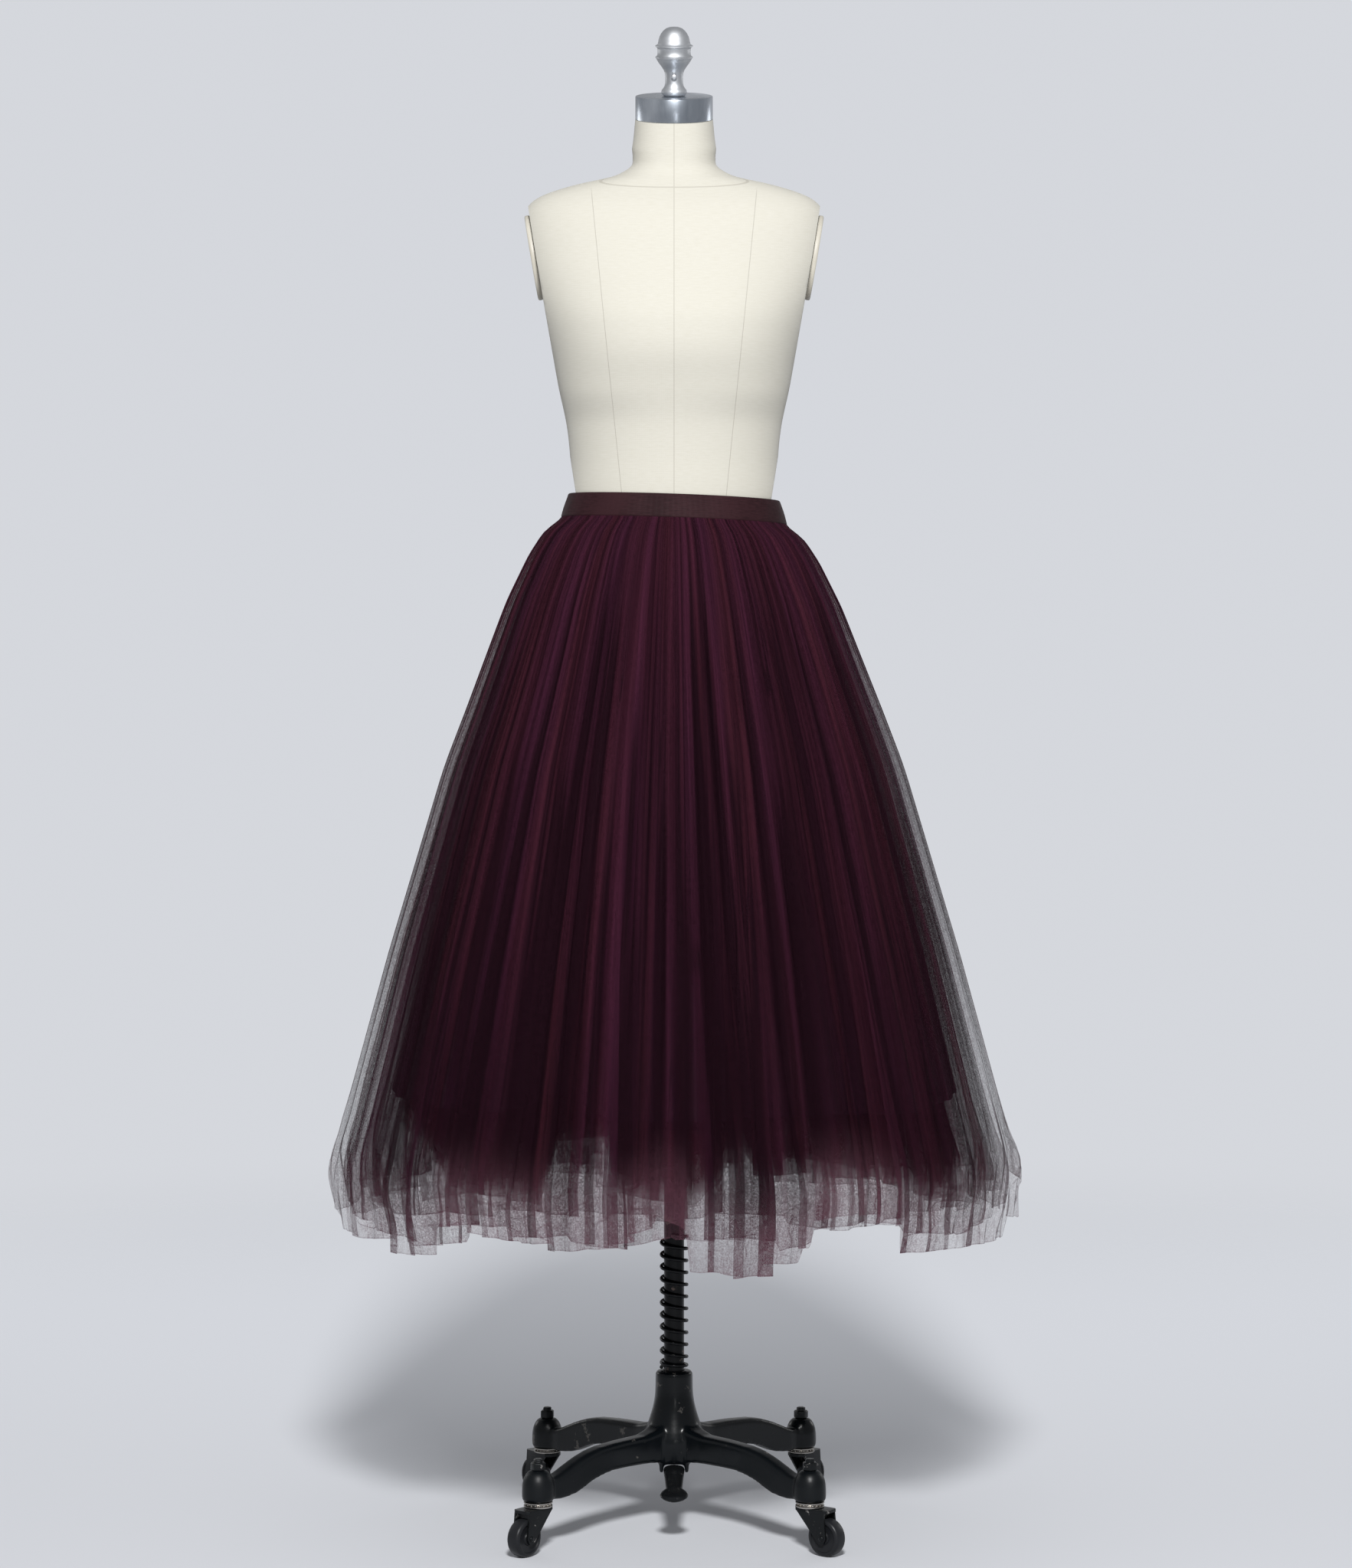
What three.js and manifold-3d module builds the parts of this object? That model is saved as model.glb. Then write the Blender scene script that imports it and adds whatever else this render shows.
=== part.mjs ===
// Layered tulle skirt on a limbless dress form with a wheeled cast-iron stand.
// Millimetres, +Z up, the skirt's front towards -Y, the origin on the floor under the pole.
// Bearings are degrees round +Z from +X, so the front is at -90 and the wearer's left at 0.
import * as THREE from "three";
import { mergeVertices } from "three/addons/utils/BufferGeometryUtils.js";
import Module from "manifold-3d";

const wasm = await Module();
wasm.setup();

// ---- driving dimensions -------------------------------------------------------------------------

const SEAM = 0.3; // gap between pieces that meet
const CLOTH = 1.2; // wall of each tulle layer and of the lining
const WAIST_SLOPE = 0.035; // the band hangs this much lower per mm towards +X
const SLOPE_ENDS = 1000; // height where the skirt hangs level again

const BAND = { top: 1258.5, bottom: 1229.5, wall: 2.2, columns: 48 };
const BAND_TOP_HALF = { width: 129.8, depth: 96.2 };
const BAND_BOTTOM_HALF = { width: 138.9, depth: 105.3 };

// Outline of the whole skirt, crest of its outermost layer: how far a fold goes either way, and the
// pitch from one layer to the next one inside it.
const SKIRT = [
  { z: 1228.4, width: 138.2, depth: 104.6, fold: 0, pitch: 2.5 },
  { z: 1211, width: 160.3, depth: 130, fold: 1.5, pitch: 5.4 },
  { z: 1183, width: 179, depth: 152, fold: 2.6, pitch: 7.5 },
  { z: 1127, width: 207, depth: 183, fold: 3.6, pitch: 9.6 },
  { z: 929, width: 284, depth: 262, fold: 5, pitch: 12.6 },
  { z: 703, width: 352, depth: 330, fold: 6, pitch: 14.6 },
  { z: 449, width: 422, depth: 399, fold: 7.6, pitch: 17.6 },
  { z: 350, width: 410, depth: 388, fold: 8, pitch: 18.2 },
];

// The layers from the outside in. extra moves a layer further in at the hem; swing shifts its folds.
const LAYERS = [
  { name: "tulle_outer", folds: 26, skips: [], extra: 0, swing: 0, color: 0x8a6f7c },
  { name: "tulle_middle", folds: 20, skips: [703], extra: 0, swing: 0.9, color: 0x7a5a68 },
  { name: "tulle_inner", folds: 18, skips: [703], extra: 0, swing: 2.1, color: 0x6a4654 },
  { name: "lining", folds: 10, skips: [703], extra: 0, swing: 1.7, color: 0x42203a },
  { name: "net_underskirt", folds: 15, skips: [703], extra: 3, swing: 0.4, color: 0x4b1a26 },
];

// Hem heights: each layer's own level, and the stretches where it is cut or caught higher.
const HEMS = {
  tulle_outer: [
    { from: -180, to: 180, hem: 366 },
    { from: -137, to: -119, hem: 376 },
    { from: -101, to: -96, hem: 396 },
    { from: -96, to: -89, hem: 424 },
    { from: -80, to: -69, hem: 358 },
    { from: -69, to: -64, hem: 392 },
    { from: -64, to: -47, hem: 426 },
    { from: 28, to: 46, hem: 384 },
    { from: 96, to: 118, hem: 392 },
    { from: 150, to: 163, hem: 380 },
  ],
  tulle_middle: [
    { from: -180, to: 180, hem: 388 },
    { from: -128, to: -104, hem: 398 },
    { from: -44, to: -12, hem: 376 },
    { from: 60, to: 92, hem: 402 },
  ],
  tulle_inner: [
    { from: -180, to: 180, hem: 412 },
    { from: -120, to: -92, hem: 426 },
    { from: 10, to: 50, hem: 424 },
  ],
  net_underskirt: [
    { from: -180, to: 180, hem: 452 },
    { from: -116, to: -98, hem: 500 },
    { from: -80, to: -74, hem: 486 },
    { from: 70, to: 96, hem: 480 },
  ],
  lining: [{ from: -180, to: 180, hem: 530 }],
};

// Sections of the dress form: half width, depth in front of and behind the pole, the section's
// forward tilt in degrees and how far forward its centre leans.
const FORM = [
  { z: 985, half: 142, front: 100, back: 104, tilt: 0, lean: 0 },
  { z: 1035, half: 156, front: 108, back: 116, tilt: 0, lean: 0 },
  { z: 1090, half: 157, front: 108, back: 118, tilt: 0, lean: 0 },
  { z: 1145, half: 149, front: 103, back: 112, tilt: 0, lean: 0 },
  { z: 1190, half: 136, front: 97, back: 102, tilt: 0, lean: 0 },
  { z: 1226, half: 124.5, front: 91.3, back: 91.3, tilt: 0, lean: 0 },
  { z: 1262, half: 127.1, front: 93.5, back: 93.5, tilt: 0, lean: 0 },
  { z: 1305, half: 127.4, front: 95, back: 93, tilt: 0, lean: 0 },
  { z: 1345, half: 131.5, front: 100, back: 92, tilt: 0, lean: 0 },
  { z: 1389, half: 140.8, front: 113, back: 93, tilt: 0, lean: 0 },
  { z: 1432, half: 149.8, front: 126, back: 96, tilt: 0, lean: 0 },
  { z: 1470, half: 161.5, front: 127, back: 98, tilt: 0, lean: 0 },
  { z: 1506, half: 174.5, front: 117, back: 99, tilt: 0, lean: 0 },
  { z: 1550, half: 186, front: 103, back: 97, tilt: 0, lean: 0 },
  { z: 1592, half: 188, front: 90, back: 90, tilt: 0, lean: 0 },
  { z: 1613, half: 181, front: 79, back: 81, tilt: 0, lean: 0 },
  { z: 1627, half: 163, front: 69, back: 72, tilt: 0, lean: 0 },
  { z: 1641, half: 120, front: 60, back: 63, tilt: 1, lean: 0 },
  { z: 1650, half: 80, front: 55, back: 57, tilt: 2, lean: 0 },
  { z: 1660, half: 58.5, front: 52, back: 52, tilt: 5, lean: 1 },
  { z: 1688, half: 51.4, front: 49, back: 49, tilt: 10, lean: 4 },
  { z: 1721, half: 47.6, front: 47, back: 47, tilt: 14.5, lean: 8 },
];
const FORM_COLUMNS = 24;
const FORM_SQUARENESS = 2.25; // exponent of the sections' outline, 2 is an ellipse
const WAIST_ROUND = { low: 1190, high: 1345, exponent: 2 }; // plain ellipses under the band

const ARM_PLATE = { high: 105, deep: 76, tilt: 9.5, x: 168.4, z: 1553, sides: 20 };
// Arm plate from its bed outwards: size of its oval at a height, ending in a shallow dish.
const ARM_RIM = [
  { scale: 0.97, out: SEAM },
  { scale: 1, out: 2.5 },
  { scale: 0.98, out: 6.8 },
  { scale: 0.8, out: 5 },
];

const CAP = { radius: 47.4, high: 28.3, sides: 28 };
// Finial profile, as radius at a height above the neck cap.
const FINIAL = [
  { r: 12.5, h: 0 },
  { r: 15.7, h: 4.6 },
  { r: 11.6, h: 12 },
  { r: 11.4, h: 28 },
  { r: 16.2, h: 36 },
  { r: 22.9, h: 46.4 },
  { r: 20.2, h: 53.5 },
  { r: 22.9, h: 60.2 },
  { r: 19.4, h: 64 },
  { r: 16.2, h: 74 },
  { r: 8.5, h: 82 },
];
const FINIAL_TOP = 83.5;
const FINIAL_SIDES = 14;
const FINIAL_SCREW = { radius: 3.6, high: 3.2, h: 24, into: 11.6 }; // into: finial radius there

const POLE = { radius: 12.4, bottom: 84, top: 962, sides: 20 };
const BORE_RADIUS = 13.1; // of every bore that the pole turns or slides in
const BASE_PLATE = { radius: 88, high: 12 };
const SOCKET = { radius: 24, bottom: 925 };

const SPRING = { bottom: 191.3, top: 356, pitch: 14.7, wire: 4.2, radius: 15.5, steps: 10, sides: 4 };

const STANCE = 161; // each caster stem's distance from the pole, along X and along Y
// Hub of the casting, radius at height, from its lower face to the collar's rim.
const HUB = [
  { r: 36, z: 80 },
  { r: 39, z: 84 },
  { r: 40, z: 108 },
  { r: 33, z: 123 },
  { r: 26.5, z: 138 },
  { r: 23.6, z: 156 },
  { r: 22.8, z: 184 },
  { r: 21, z: 188 },
];
const HUB_SIDES = 16;
// A leg from the hub to its boss: top and bottom edge and half its width at a distance out.
const LEG = [
  { out: 16, top: 113, bottom: 80.5, half: 14 },
  { out: 62, top: 114.5, bottom: 82, half: 12 },
  { out: 115, top: 113.5, bottom: 82, half: 11 },
  { out: 147, top: 109.5, bottom: 75, half: 11 },
  { out: 174, top: 100.5, bottom: 63.5, half: 11 },
  { out: 198, top: 89.5, bottom: 60.5, half: 11 },
  { out: 224, top: 85, bottom: 63, half: 9 },
];
const LEG_CHAMFER = 5;
// Boss at the end of each leg, radius at height.
const BOSS = [
  { r: 18, z: 62 },
  { r: 19.2, z: 66 },
  { r: 18.8, z: 84 },
  { r: 15.5, z: 93 },
  { r: 9, z: 98.5 },
];
const BOSS_SIDES = 12;
const NUT = { radius: 9, high: 13 };

const WHEEL = { radius: 22.2, half: 8.9, tread: 6.4, shoulder: 19.6, bore: 3.9, sides: 16 };
const TRAIL = 24.5; // the wheel's axle behind the stem
const AXLE_RADIUS = 3;
const STEM = { radius: 5, bore: 5.8, top: 79 };
const RACE = { outer: 17.2, waist: 14.6, inner: 7.2, bottom: 55.3, sides: 12 };
const FORK = { top: 55, crown: 3.6, half: 12.2, plate: 2.5, front: -12, nose: -17, back: 31, eye: 6.5 };
// Which way each caster trails.
const CASTERS = [
  { name: "front_left", x: -1, y: -1, trails: -130 },
  { name: "front_right", x: 1, y: -1, trails: -38 },
  { name: "rear_left", x: -1, y: 1, trails: 127 },
  { name: "rear_right", x: 1, y: 1, trails: 58 },
];

// Foot pedal: half width and thickness along its length, from the trunnion forward.
const PEDAL_PIVOT = { y: -26, z: 72 };
const PEDAL = [
  { out: 0, half: 12.6, thick: 10 },
  { out: 30, half: 11.6, thick: 9 },
  { out: 66, half: 9.8, thick: 8 },
  { out: 74, half: 14.5, thick: 10 },
  { out: 84, half: 17, thick: 11 },
  { out: 94, half: 14, thick: 9.5 },
  { out: 99, half: 7, thick: 7 },
];
const PEDAL_DROP = 10; // degrees the pedal points down at rest
const EAR = { inner: 13, outer: 18, radius: 7 };

// ---- materials ----------------------------------------------------------------------------------

const finish = (color, roughness, metalness) =>
  new THREE.MeshStandardMaterial({ color, roughness, metalness });
const linen = finish(0xece8dc, 0.9, 0);
const band = finish(0x48292e, 0.7, 0);
const brushed = finish(0x8d98a4, 0.3, 1);
const silver = finish(0xb9bcc0, 0.35, 1);
const iron = finish(0x1d2124, 0.4, 0.4);
const steel = finish(0x55504d, 0.4, 0.9);
const wood = finish(0x8a6a45, 0.7, 0);
const rubber = finish(0x2b2d30, 0.6, 0);

// ---- geometry helpers ---------------------------------------------------------------------------

const radians = THREE.MathUtils.degToRad;
const point = (x, y, z) => new THREE.Vector3(x, y, z);

function geometryFrom(points, faces) {
  const geometry = new THREE.BufferGeometry();
  geometry.setFromPoints(points);
  geometry.setIndex(faces);
  return geometry;
}

// Value of a column in a table at a height or distance, straight between its rows.
function read(table, along, column, value) {
  const rows = [...table].sort((a, b) => a[along] - b[along]);
  const next = rows.findIndex((row) => row[along] >= value);
  if (next < 0) return rows.at(-1)[column];
  if (next === 0) return rows[0][column];
  const [a, b] = [rows[next - 1], rows[next]];
  return THREE.MathUtils.mapLinear(value, a[along], b[along], a[column], b[column]);
}

// Closed solid through rings of equal count, each counter-clockwise as seen from the last one.
function solidThrough(rings) {
  const count = rings[0].length;
  const centre = (ring) => ring.reduce((sum, p) => sum.add(p), point(0, 0, 0)).divideScalar(count);
  const points = [...rings.flat(), centre(rings[0]), centre(rings.at(-1))];
  const [first, last] = [points.length - 2, points.length - 1];
  const faces = [];
  rings.slice(1).forEach((_, i) => {
    for (let j = 0; j < count; j++) {
      const [a, b] = [i * count + j, i * count + ((j + 1) % count)];
      faces.push(a, b, a + count, b, b + count, a + count);
    }
  });
  const end = (rings.length - 1) * count;
  for (let j = 0; j < count; j++) {
    faces.push(first, (j + 1) % count, j);
    faces.push(last, end + j, end + ((j + 1) % count));
  }
  return geometryFrom(points, faces);
}

// Closed wall of cloth: rings from the top down, counter-clockwise from above, a skin on each side.
function clothWall(rings, wall) {
  const rows = rings.length;
  const count = rings[0].length;
  const inside = rings.map((ring, i) =>
    ring.map((p, j) => {
      const down = rings[Math.min(i + 1, rows - 1)][j].clone().sub(rings[Math.max(i - 1, 0)][j]);
      const round = ring[(j + 1) % count].clone().sub(ring[(j + count - 1) % count]);
      return p.clone().addScaledVector(down.cross(round).normalize(), -wall);
    }),
  );
  const points = [...rings.flat(), ...inside.flat()];
  const skin = rows * count;
  const low = (rows - 1) * count;
  const faces = [];
  for (let j = 0; j < count; j++) {
    const k = (j + 1) % count;
    for (let i = 0; i < low; i += count) {
      const [a, b, c, d] = [i + j, i + k, i + count + j, i + count + k];
      faces.push(a, c, b, b, c, d);
      faces.push(skin + a, skin + b, skin + c, skin + b, skin + d, skin + c);
    }
    faces.push(j, k, skin + k, j, skin + k, skin + j);
    faces.push(low + j, skin + low + k, low + k, low + j, skin + low + j, skin + low + k);
  }
  return geometryFrom(points, faces);
}

// Turned solid about Z from rows of { r, z }, closed on the axis.
function turned(rows, sides) {
  const ends = [{ r: 0, z: rows[0].z }, ...rows, { r: 0, z: rows.at(-1).z }];
  const profile = ends.map((row) => new THREE.Vector2(row.r, row.z));
  return new THREE.LatheGeometry(profile, sides).rotateX(Math.PI / 2);
}

const cylinder = (radius, low, high, sides) =>
  turned([{ r: radius, z: low }, { r: radius, z: high }], sides);

// Turned ring about Z from a closed outline of { r, z }, counter-clockwise with r to the right.
function turnedRing(rows, sides) {
  const profile = [...rows, rows[0]].map((row) => new THREE.Vector2(row.r, row.z));
  return new THREE.LatheGeometry(profile, sides).rotateX(Math.PI / 2);
}

// Flat outline extruded to a height.
function plate(outline, thick) {
  const shape = new THREE.Shape(outline.map(([x, y]) => new THREE.Vector2(x, y)));
  return new THREE.ExtrudeGeometry(shape, { depth: thick, bevelEnabled: false });
}

function manifold(geometry) {
  const bare = new THREE.BufferGeometry();
  bare.setAttribute("position", geometry.getAttribute("position"));
  bare.setIndex(geometry.index);
  const merged = mergeVertices(bare, 1e-4);
  const solid = new wasm.Manifold(
    new wasm.Mesh({
      numProp: 3,
      vertProperties: merged.attributes.position.array,
      triVerts: new Uint32Array(merged.index.array),
    }),
  );
  if (solid.volume() < 0) throw new Error("a solid is inside out");
  return solid;
}

function geometryOf(solid) {
  const mesh = solid.getMesh();
  const geometry = new THREE.BufferGeometry();
  geometry.setAttribute("position", new THREE.BufferAttribute(new Float32Array(mesh.vertProperties), 3));
  geometry.setIndex(new THREE.BufferAttribute(mesh.triVerts, 1));
  return geometry;
}

const joined = (parts) => parts.map(manifold).reduce((sum, part) => sum.add(part));

function named(name, geometry, material) {
  const mesh = new THREE.Mesh(geometry, material);
  mesh.name = name;
  return mesh;
}

// ---- the skirt ----------------------------------------------------------------------------------

// The skirt hangs a little lower on one side at the waist, and level further down.
function hung(x, y, z) {
  const share = THREE.MathUtils.clamp((z - SLOPE_ENDS) / (BAND.bottom - SLOPE_ENDS), 0, 1);
  return point(x, y, z - x * WAIST_SLOPE * share);
}

function ellipseRing(half, z, columns) {
  return Array.from({ length: columns }, (_, j) => {
    const turn = (2 * Math.PI * j) / columns;
    return hung(half.width * Math.cos(turn), half.depth * Math.sin(turn), z);
  });
}

function waistband() {
  const top = ellipseRing(BAND_TOP_HALF, BAND.top, BAND.columns);
  const bottom = ellipseRing(BAND_BOTTOM_HALF, BAND.bottom, BAND.columns);
  return named("waistband", clothWall([top, bottom], BAND.wall), band);
}

// How far the crest of a layer lies inside the skirt's outline at a height.
function inset(index, z) {
  const drop = (SKIRT[0].z - z) / (SKIRT[0].z - SKIRT.at(-1).z);
  return index * read(SKIRT, "z", "pitch", z) + LAYERS[index].extra * drop;
}

// Each fold runs crest, flank, trough, flank; some are deeper and some lean to one side.
function foldAt(layer, column) {
  const fold = Math.floor(column / 4);
  const depth = 0.78 + 0.22 * Math.sin(2.4 * fold + layer.swing);
  return depth * [1, 0.15, -1, -0.2][column % 4];
}

function hemAt(layer, bearing) {
  const wave = 3 * Math.sin(radians(3 * bearing) + layer.swing);
  const cut = HEMS[layer.name].filter((row) => bearing >= row.from && bearing <= row.to).at(-1);
  return cut.hem + wave;
}

function skirtLayer(index) {
  const layer = LAYERS[index];
  const columns = 4 * layer.folds;
  const heights = SKIRT.slice(0, -1)
    .map((row) => row.z)
    .filter((z) => !layer.skips.includes(z) && z > Math.max(...HEMS[layer.name].map((c) => c.hem)));
  const rings = [...heights, null].map((level) =>
    Array.from({ length: columns }, (_, j) => {
      const lean = 0.35 * Math.sin(1.7 * Math.floor(j / 4) + layer.swing);
      const bearing = (360 * (j + lean)) / columns - 180 + 4 * layer.swing;
      const around = ((bearing + 540) % 360) - 180;
      const z = level ?? hemAt(layer, around);
      const fold = read(SKIRT, "z", "fold", z);
      const inward = inset(index, z) + fold * (1 - foldAt(layer, j));
      const width = read(SKIRT, "z", "width", z) - inward;
      const depth = read(SKIRT, "z", "depth", z) - inward;
      return hung(width * Math.cos(radians(bearing)), depth * Math.sin(radians(bearing)), z);
    }),
  );
  return named(layer.name, clothWall(rings, CLOTH), finish(layer.color, 0.8, 0));
}

// ---- the dress form -----------------------------------------------------------------------------

function formSection(row) {
  const plain = row.z >= WAIST_ROUND.low && row.z <= WAIST_ROUND.high;
  const power = 2 / (plain ? WAIST_ROUND.exponent : FORM_SQUARENESS);
  const bow = (value) => Math.sign(value) * Math.abs(value) ** power;
  return Array.from({ length: FORM_COLUMNS }, (_, j) => {
    const turn = (2 * Math.PI * j) / FORM_COLUMNS;
    const x = row.half * bow(Math.cos(turn));
    const y = (Math.sin(turn) < 0 ? row.front : row.back) * bow(Math.sin(turn));
    return point(x, y * Math.cos(radians(row.tilt)) - row.lean, row.z + y * Math.sin(radians(row.tilt)));
  });
}

// The flat bed of an arm plate lies on this plane; side is -1 or 1.
function atArm(geometry, side) {
  const turn = side > 0 ? ARM_PLATE.tilt : 180 - ARM_PLATE.tilt;
  return geometry
    .rotateY(Math.PI / 2)
    .rotateY(radians(turn))
    .translate(side * ARM_PLATE.x, 0, ARM_PLATE.z);
}

function formBody() {
  const room = 120; // reach of the cutter that flattens each arm bed
  const bed = (side) => new THREE.BoxGeometry(room * 2, room * 2, room).translate(0, 0, room / 2);
  const body = [1, -1].reduce(
    (solid, side) => solid.subtract(manifold(atArm(bed(side), side))),
    manifold(solidThrough(FORM.map(formSection))),
  );
  return named("form_body", geometryOf(body), linen);
}

function armPlate(side) {
  const ring = (scale, out) =>
    Array.from({ length: ARM_PLATE.sides }, (_, j) => {
      const turn = (2 * Math.PI * j) / ARM_PLATE.sides;
      const high = (ARM_PLATE.high / 2) * scale * Math.cos(turn);
      return point(high, (ARM_PLATE.deep / 2) * scale * Math.sin(turn), out);
    });
  const rings = ARM_RIM.map(({ scale, out }) => ring(scale, out));
  const name = side < 0 ? "arm_plate_left" : "arm_plate_right";
  return named(name, atArm(solidThrough(rings), side), linen);
}

// Everything on the neck shares the tilt of its top section.
function atNeck(geometry, above) {
  const top = FORM.at(-1);
  return geometry
    .translate(0, 0, above)
    .rotateX(radians(top.tilt))
    .translate(0, -top.lean, top.z);
}

function neckCap() {
  return named("neck_cap", atNeck(cylinder(CAP.radius, 0, CAP.high, CAP.sides), SEAM), brushed);
}

function finial() {
  const rows = [...FINIAL, { r: 1.5, h: FINIAL_TOP }].map(({ r, h }) => ({ r, z: h }));
  return named("finial", atNeck(turned(rows, FINIAL_SIDES), CAP.high + 2 * SEAM), silver);
}

function finialScrew() {
  const screw = cylinder(FINIAL_SCREW.radius, 0, FINIAL_SCREW.high, 10)
    .rotateX(Math.PI / 2)
    .translate(0, -FINIAL_SCREW.into - SEAM, FINIAL_SCREW.h);
  return named("finial_screw", atNeck(screw, CAP.high + 2 * SEAM), steel);
}

// Wooden disc under the form, and the iron socket that turns on the pole's top.
function basePlate() {
  const top = FORM[0].z - SEAM;
  return named("form_base_plate", cylinder(BASE_PLATE.radius, top - BASE_PLATE.high, top, 20), wood);
}

function poleSocket() {
  const top = FORM[0].z - BASE_PLATE.high - 2 * SEAM;
  const cap = cylinder(SOCKET.radius, SOCKET.bottom, top, POLE.sides);
  const bore = cylinder(BORE_RADIUS, SOCKET.bottom - 5, POLE.top + SEAM, POLE.sides);
  return named("pole_socket", geometryOf(manifold(cap).subtract(manifold(bore))), iron);
}

function pole() {
  return named("pole", cylinder(POLE.radius, POLE.bottom, POLE.top, POLE.sides), steel);
}

// ---- the stand ----------------------------------------------------------------------------------

// Coil spring round the pole: even turns, and a closed last turn on the hub's collar.
function bumperSpring() {
  const open = (SPRING.top - SPRING.bottom - SPRING.wire * 1.3) / SPRING.pitch;
  const steps = Math.round((open + 1) * SPRING.steps);
  const rings = Array.from({ length: steps + 1 }, (_, i) => {
    const turns = i / SPRING.steps;
    const height = SPRING.bottom + SPRING.wire * 1.3 * Math.min(turns, 1);
    const centre = height + SPRING.pitch * Math.max(turns - 1, 0);
    const turn = Math.PI - 2 * Math.PI * turns; // the coil rises clockwise, seen from above
    return Array.from({ length: SPRING.sides }, (_, j) => {
      const roll = (2 * Math.PI * (j + 0.5)) / SPRING.sides;
      const out = SPRING.radius + (SPRING.wire / 2) * Math.cos(roll);
      const up = centre + (SPRING.wire / 2) * Math.sin(roll);
      return point(out * Math.cos(turn), out * Math.sin(turn), up);
    });
  });
  return named("bumper_spring", solidThrough(rings), iron);
}

function leg(bearing) {
  const rings = LEG.map(({ out, top, bottom, half }) =>
    [
      [-half, bottom],
      [half, bottom],
      [half, top - LEG_CHAMFER],
      [half - LEG_CHAMFER, top],
      [LEG_CHAMFER - half, top],
      [-half, top - LEG_CHAMFER],
    ].map(([side, z]) => point(out, side, z)),
  );
  return solidThrough(rings).rotateZ(radians(bearing));
}

function pedalEar(side) {
  const rise = PEDAL_PIVOT.z - HUB[1].z;
  const outline = [
    [rise, -EAR.radius],
    [rise, EAR.radius],
    [-2, EAR.radius],
    [4, EAR.radius * 0.7],
    [EAR.radius, 0],
    [4, -EAR.radius * 0.7],
    [-2, -EAR.radius],
  ];
  const low = side > 0 ? EAR.inner : -EAR.outer;
  return plate(outline, EAR.outer - EAR.inner)
    .rotateY(Math.PI / 2)
    .translate(low, PEDAL_PIVOT.y, PEDAL_PIVOT.z);
}

function baseCasting() {
  const hub = turned(HUB, HUB_SIDES);
  const legs = CASTERS.map(({ x, y }) => leg(THREE.MathUtils.radToDeg(Math.atan2(y, x))));
  const bosses = CASTERS.map(({ x, y }) =>
    turned(BOSS, BOSS_SIDES).translate(x * STANCE, y * STANCE, 0),
  );
  const stemBores = CASTERS.map(({ x, y }) =>
    cylinder(STEM.bore, BOSS[0].z - 5, STEM.top + SEAM, 10).translate(x * STANCE, y * STANCE, 0),
  );
  const bore = cylinder(BORE_RADIUS, HUB[0].z - 30, HUB.at(-1).z + 10, POLE.sides);
  const casting = joined([hub, ...legs, ...bosses, pedalEar(-1), pedalEar(1)]);
  const bores = joined([bore, ...stemBores]);
  return named("base_casting", geometryOf(casting.subtract(bores)), iron);
}

function footPedal() {
  const rings = PEDAL.map(({ out, half, thick }) =>
    [
      [-half, -thick / 4],
      [-half * 0.7, -thick / 2],
      [half * 0.7, -thick / 2],
      [half, -thick / 4],
      [half * 0.86, thick / 2],
      [-half * 0.86, thick / 2],
    ].map(([x, z]) => point(x, -out, z)),
  );
  const lever = solidThrough(rings)
    .rotateX(radians(PEDAL_DROP))
    .translate(0, PEDAL_PIVOT.y, PEDAL_PIVOT.z);
  return named("foot_pedal", lever, iron);
}

function casterNut(caster) {
  const low = BOSS.at(-1).z + SEAM;
  const rows = [
    { r: NUT.radius, z: low },
    { r: NUT.radius, z: low + NUT.high - 2 },
    { r: NUT.radius - 2, z: low + NUT.high },
  ];
  return named("caster_nut_" + caster.name, turned(rows, 6), iron);
}

function casterRace(caster) {
  const high = BOSS[0].z - SEAM;
  const middle = (RACE.bottom + high) / 2;
  const outline = [
    { r: RACE.inner, z: RACE.bottom },
    { r: RACE.outer, z: RACE.bottom },
    { r: RACE.waist, z: middle },
    { r: RACE.outer, z: high },
    { r: RACE.inner, z: high },
  ];
  return named("caster_race_" + caster.name, turnedRing(outline, RACE.sides), steel);
}

// In the fork's own frame X is the way it trails, and Y runs along the axle.
function casterFork(caster) {
  const under = FORK.top - FORK.crown;
  const corner = 3;
  const crown = plate(
    [
      [FORK.front, -FORK.half],
      [FORK.back - corner, -FORK.half],
      [FORK.back, corner - FORK.half],
      [FORK.back, FORK.half - corner],
      [FORK.back - corner, FORK.half],
      [FORK.front, FORK.half],
      [FORK.nose, FORK.half / 2],
      [FORK.nose, -FORK.half / 2],
    ],
    FORK.crown,
  ).translate(0, 0, under);
  const cheek = (side) =>
    plate(
      [
        [FORK.front, under + 1],
        [TRAIL - FORK.eye, WHEEL.radius - FORK.eye / 2],
        [TRAIL - FORK.eye / 2, WHEEL.radius - FORK.eye],
        [TRAIL + FORK.eye / 2, WHEEL.radius - FORK.eye],
        [TRAIL + FORK.eye, WHEEL.radius],
        [FORK.back - corner, under + 1],
      ],
      FORK.plate,
    )
      .rotateX(Math.PI / 2)
      .translate(0, side > 0 ? FORK.half : FORK.plate - FORK.half, 0);
  const axle = cylinder(AXLE_RADIUS, -FORK.half + 1, FORK.half - 1, 8)
    .rotateX(Math.PI / 2)
    .translate(TRAIL, 0, WHEEL.radius);
  const stem = cylinder(STEM.radius, under + 1, STEM.top, 10);
  const fork = geometryOf(joined([crown, cheek(-1), cheek(1), axle, stem]));
  return named("caster_fork_" + caster.name, fork, iron);
}

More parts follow.
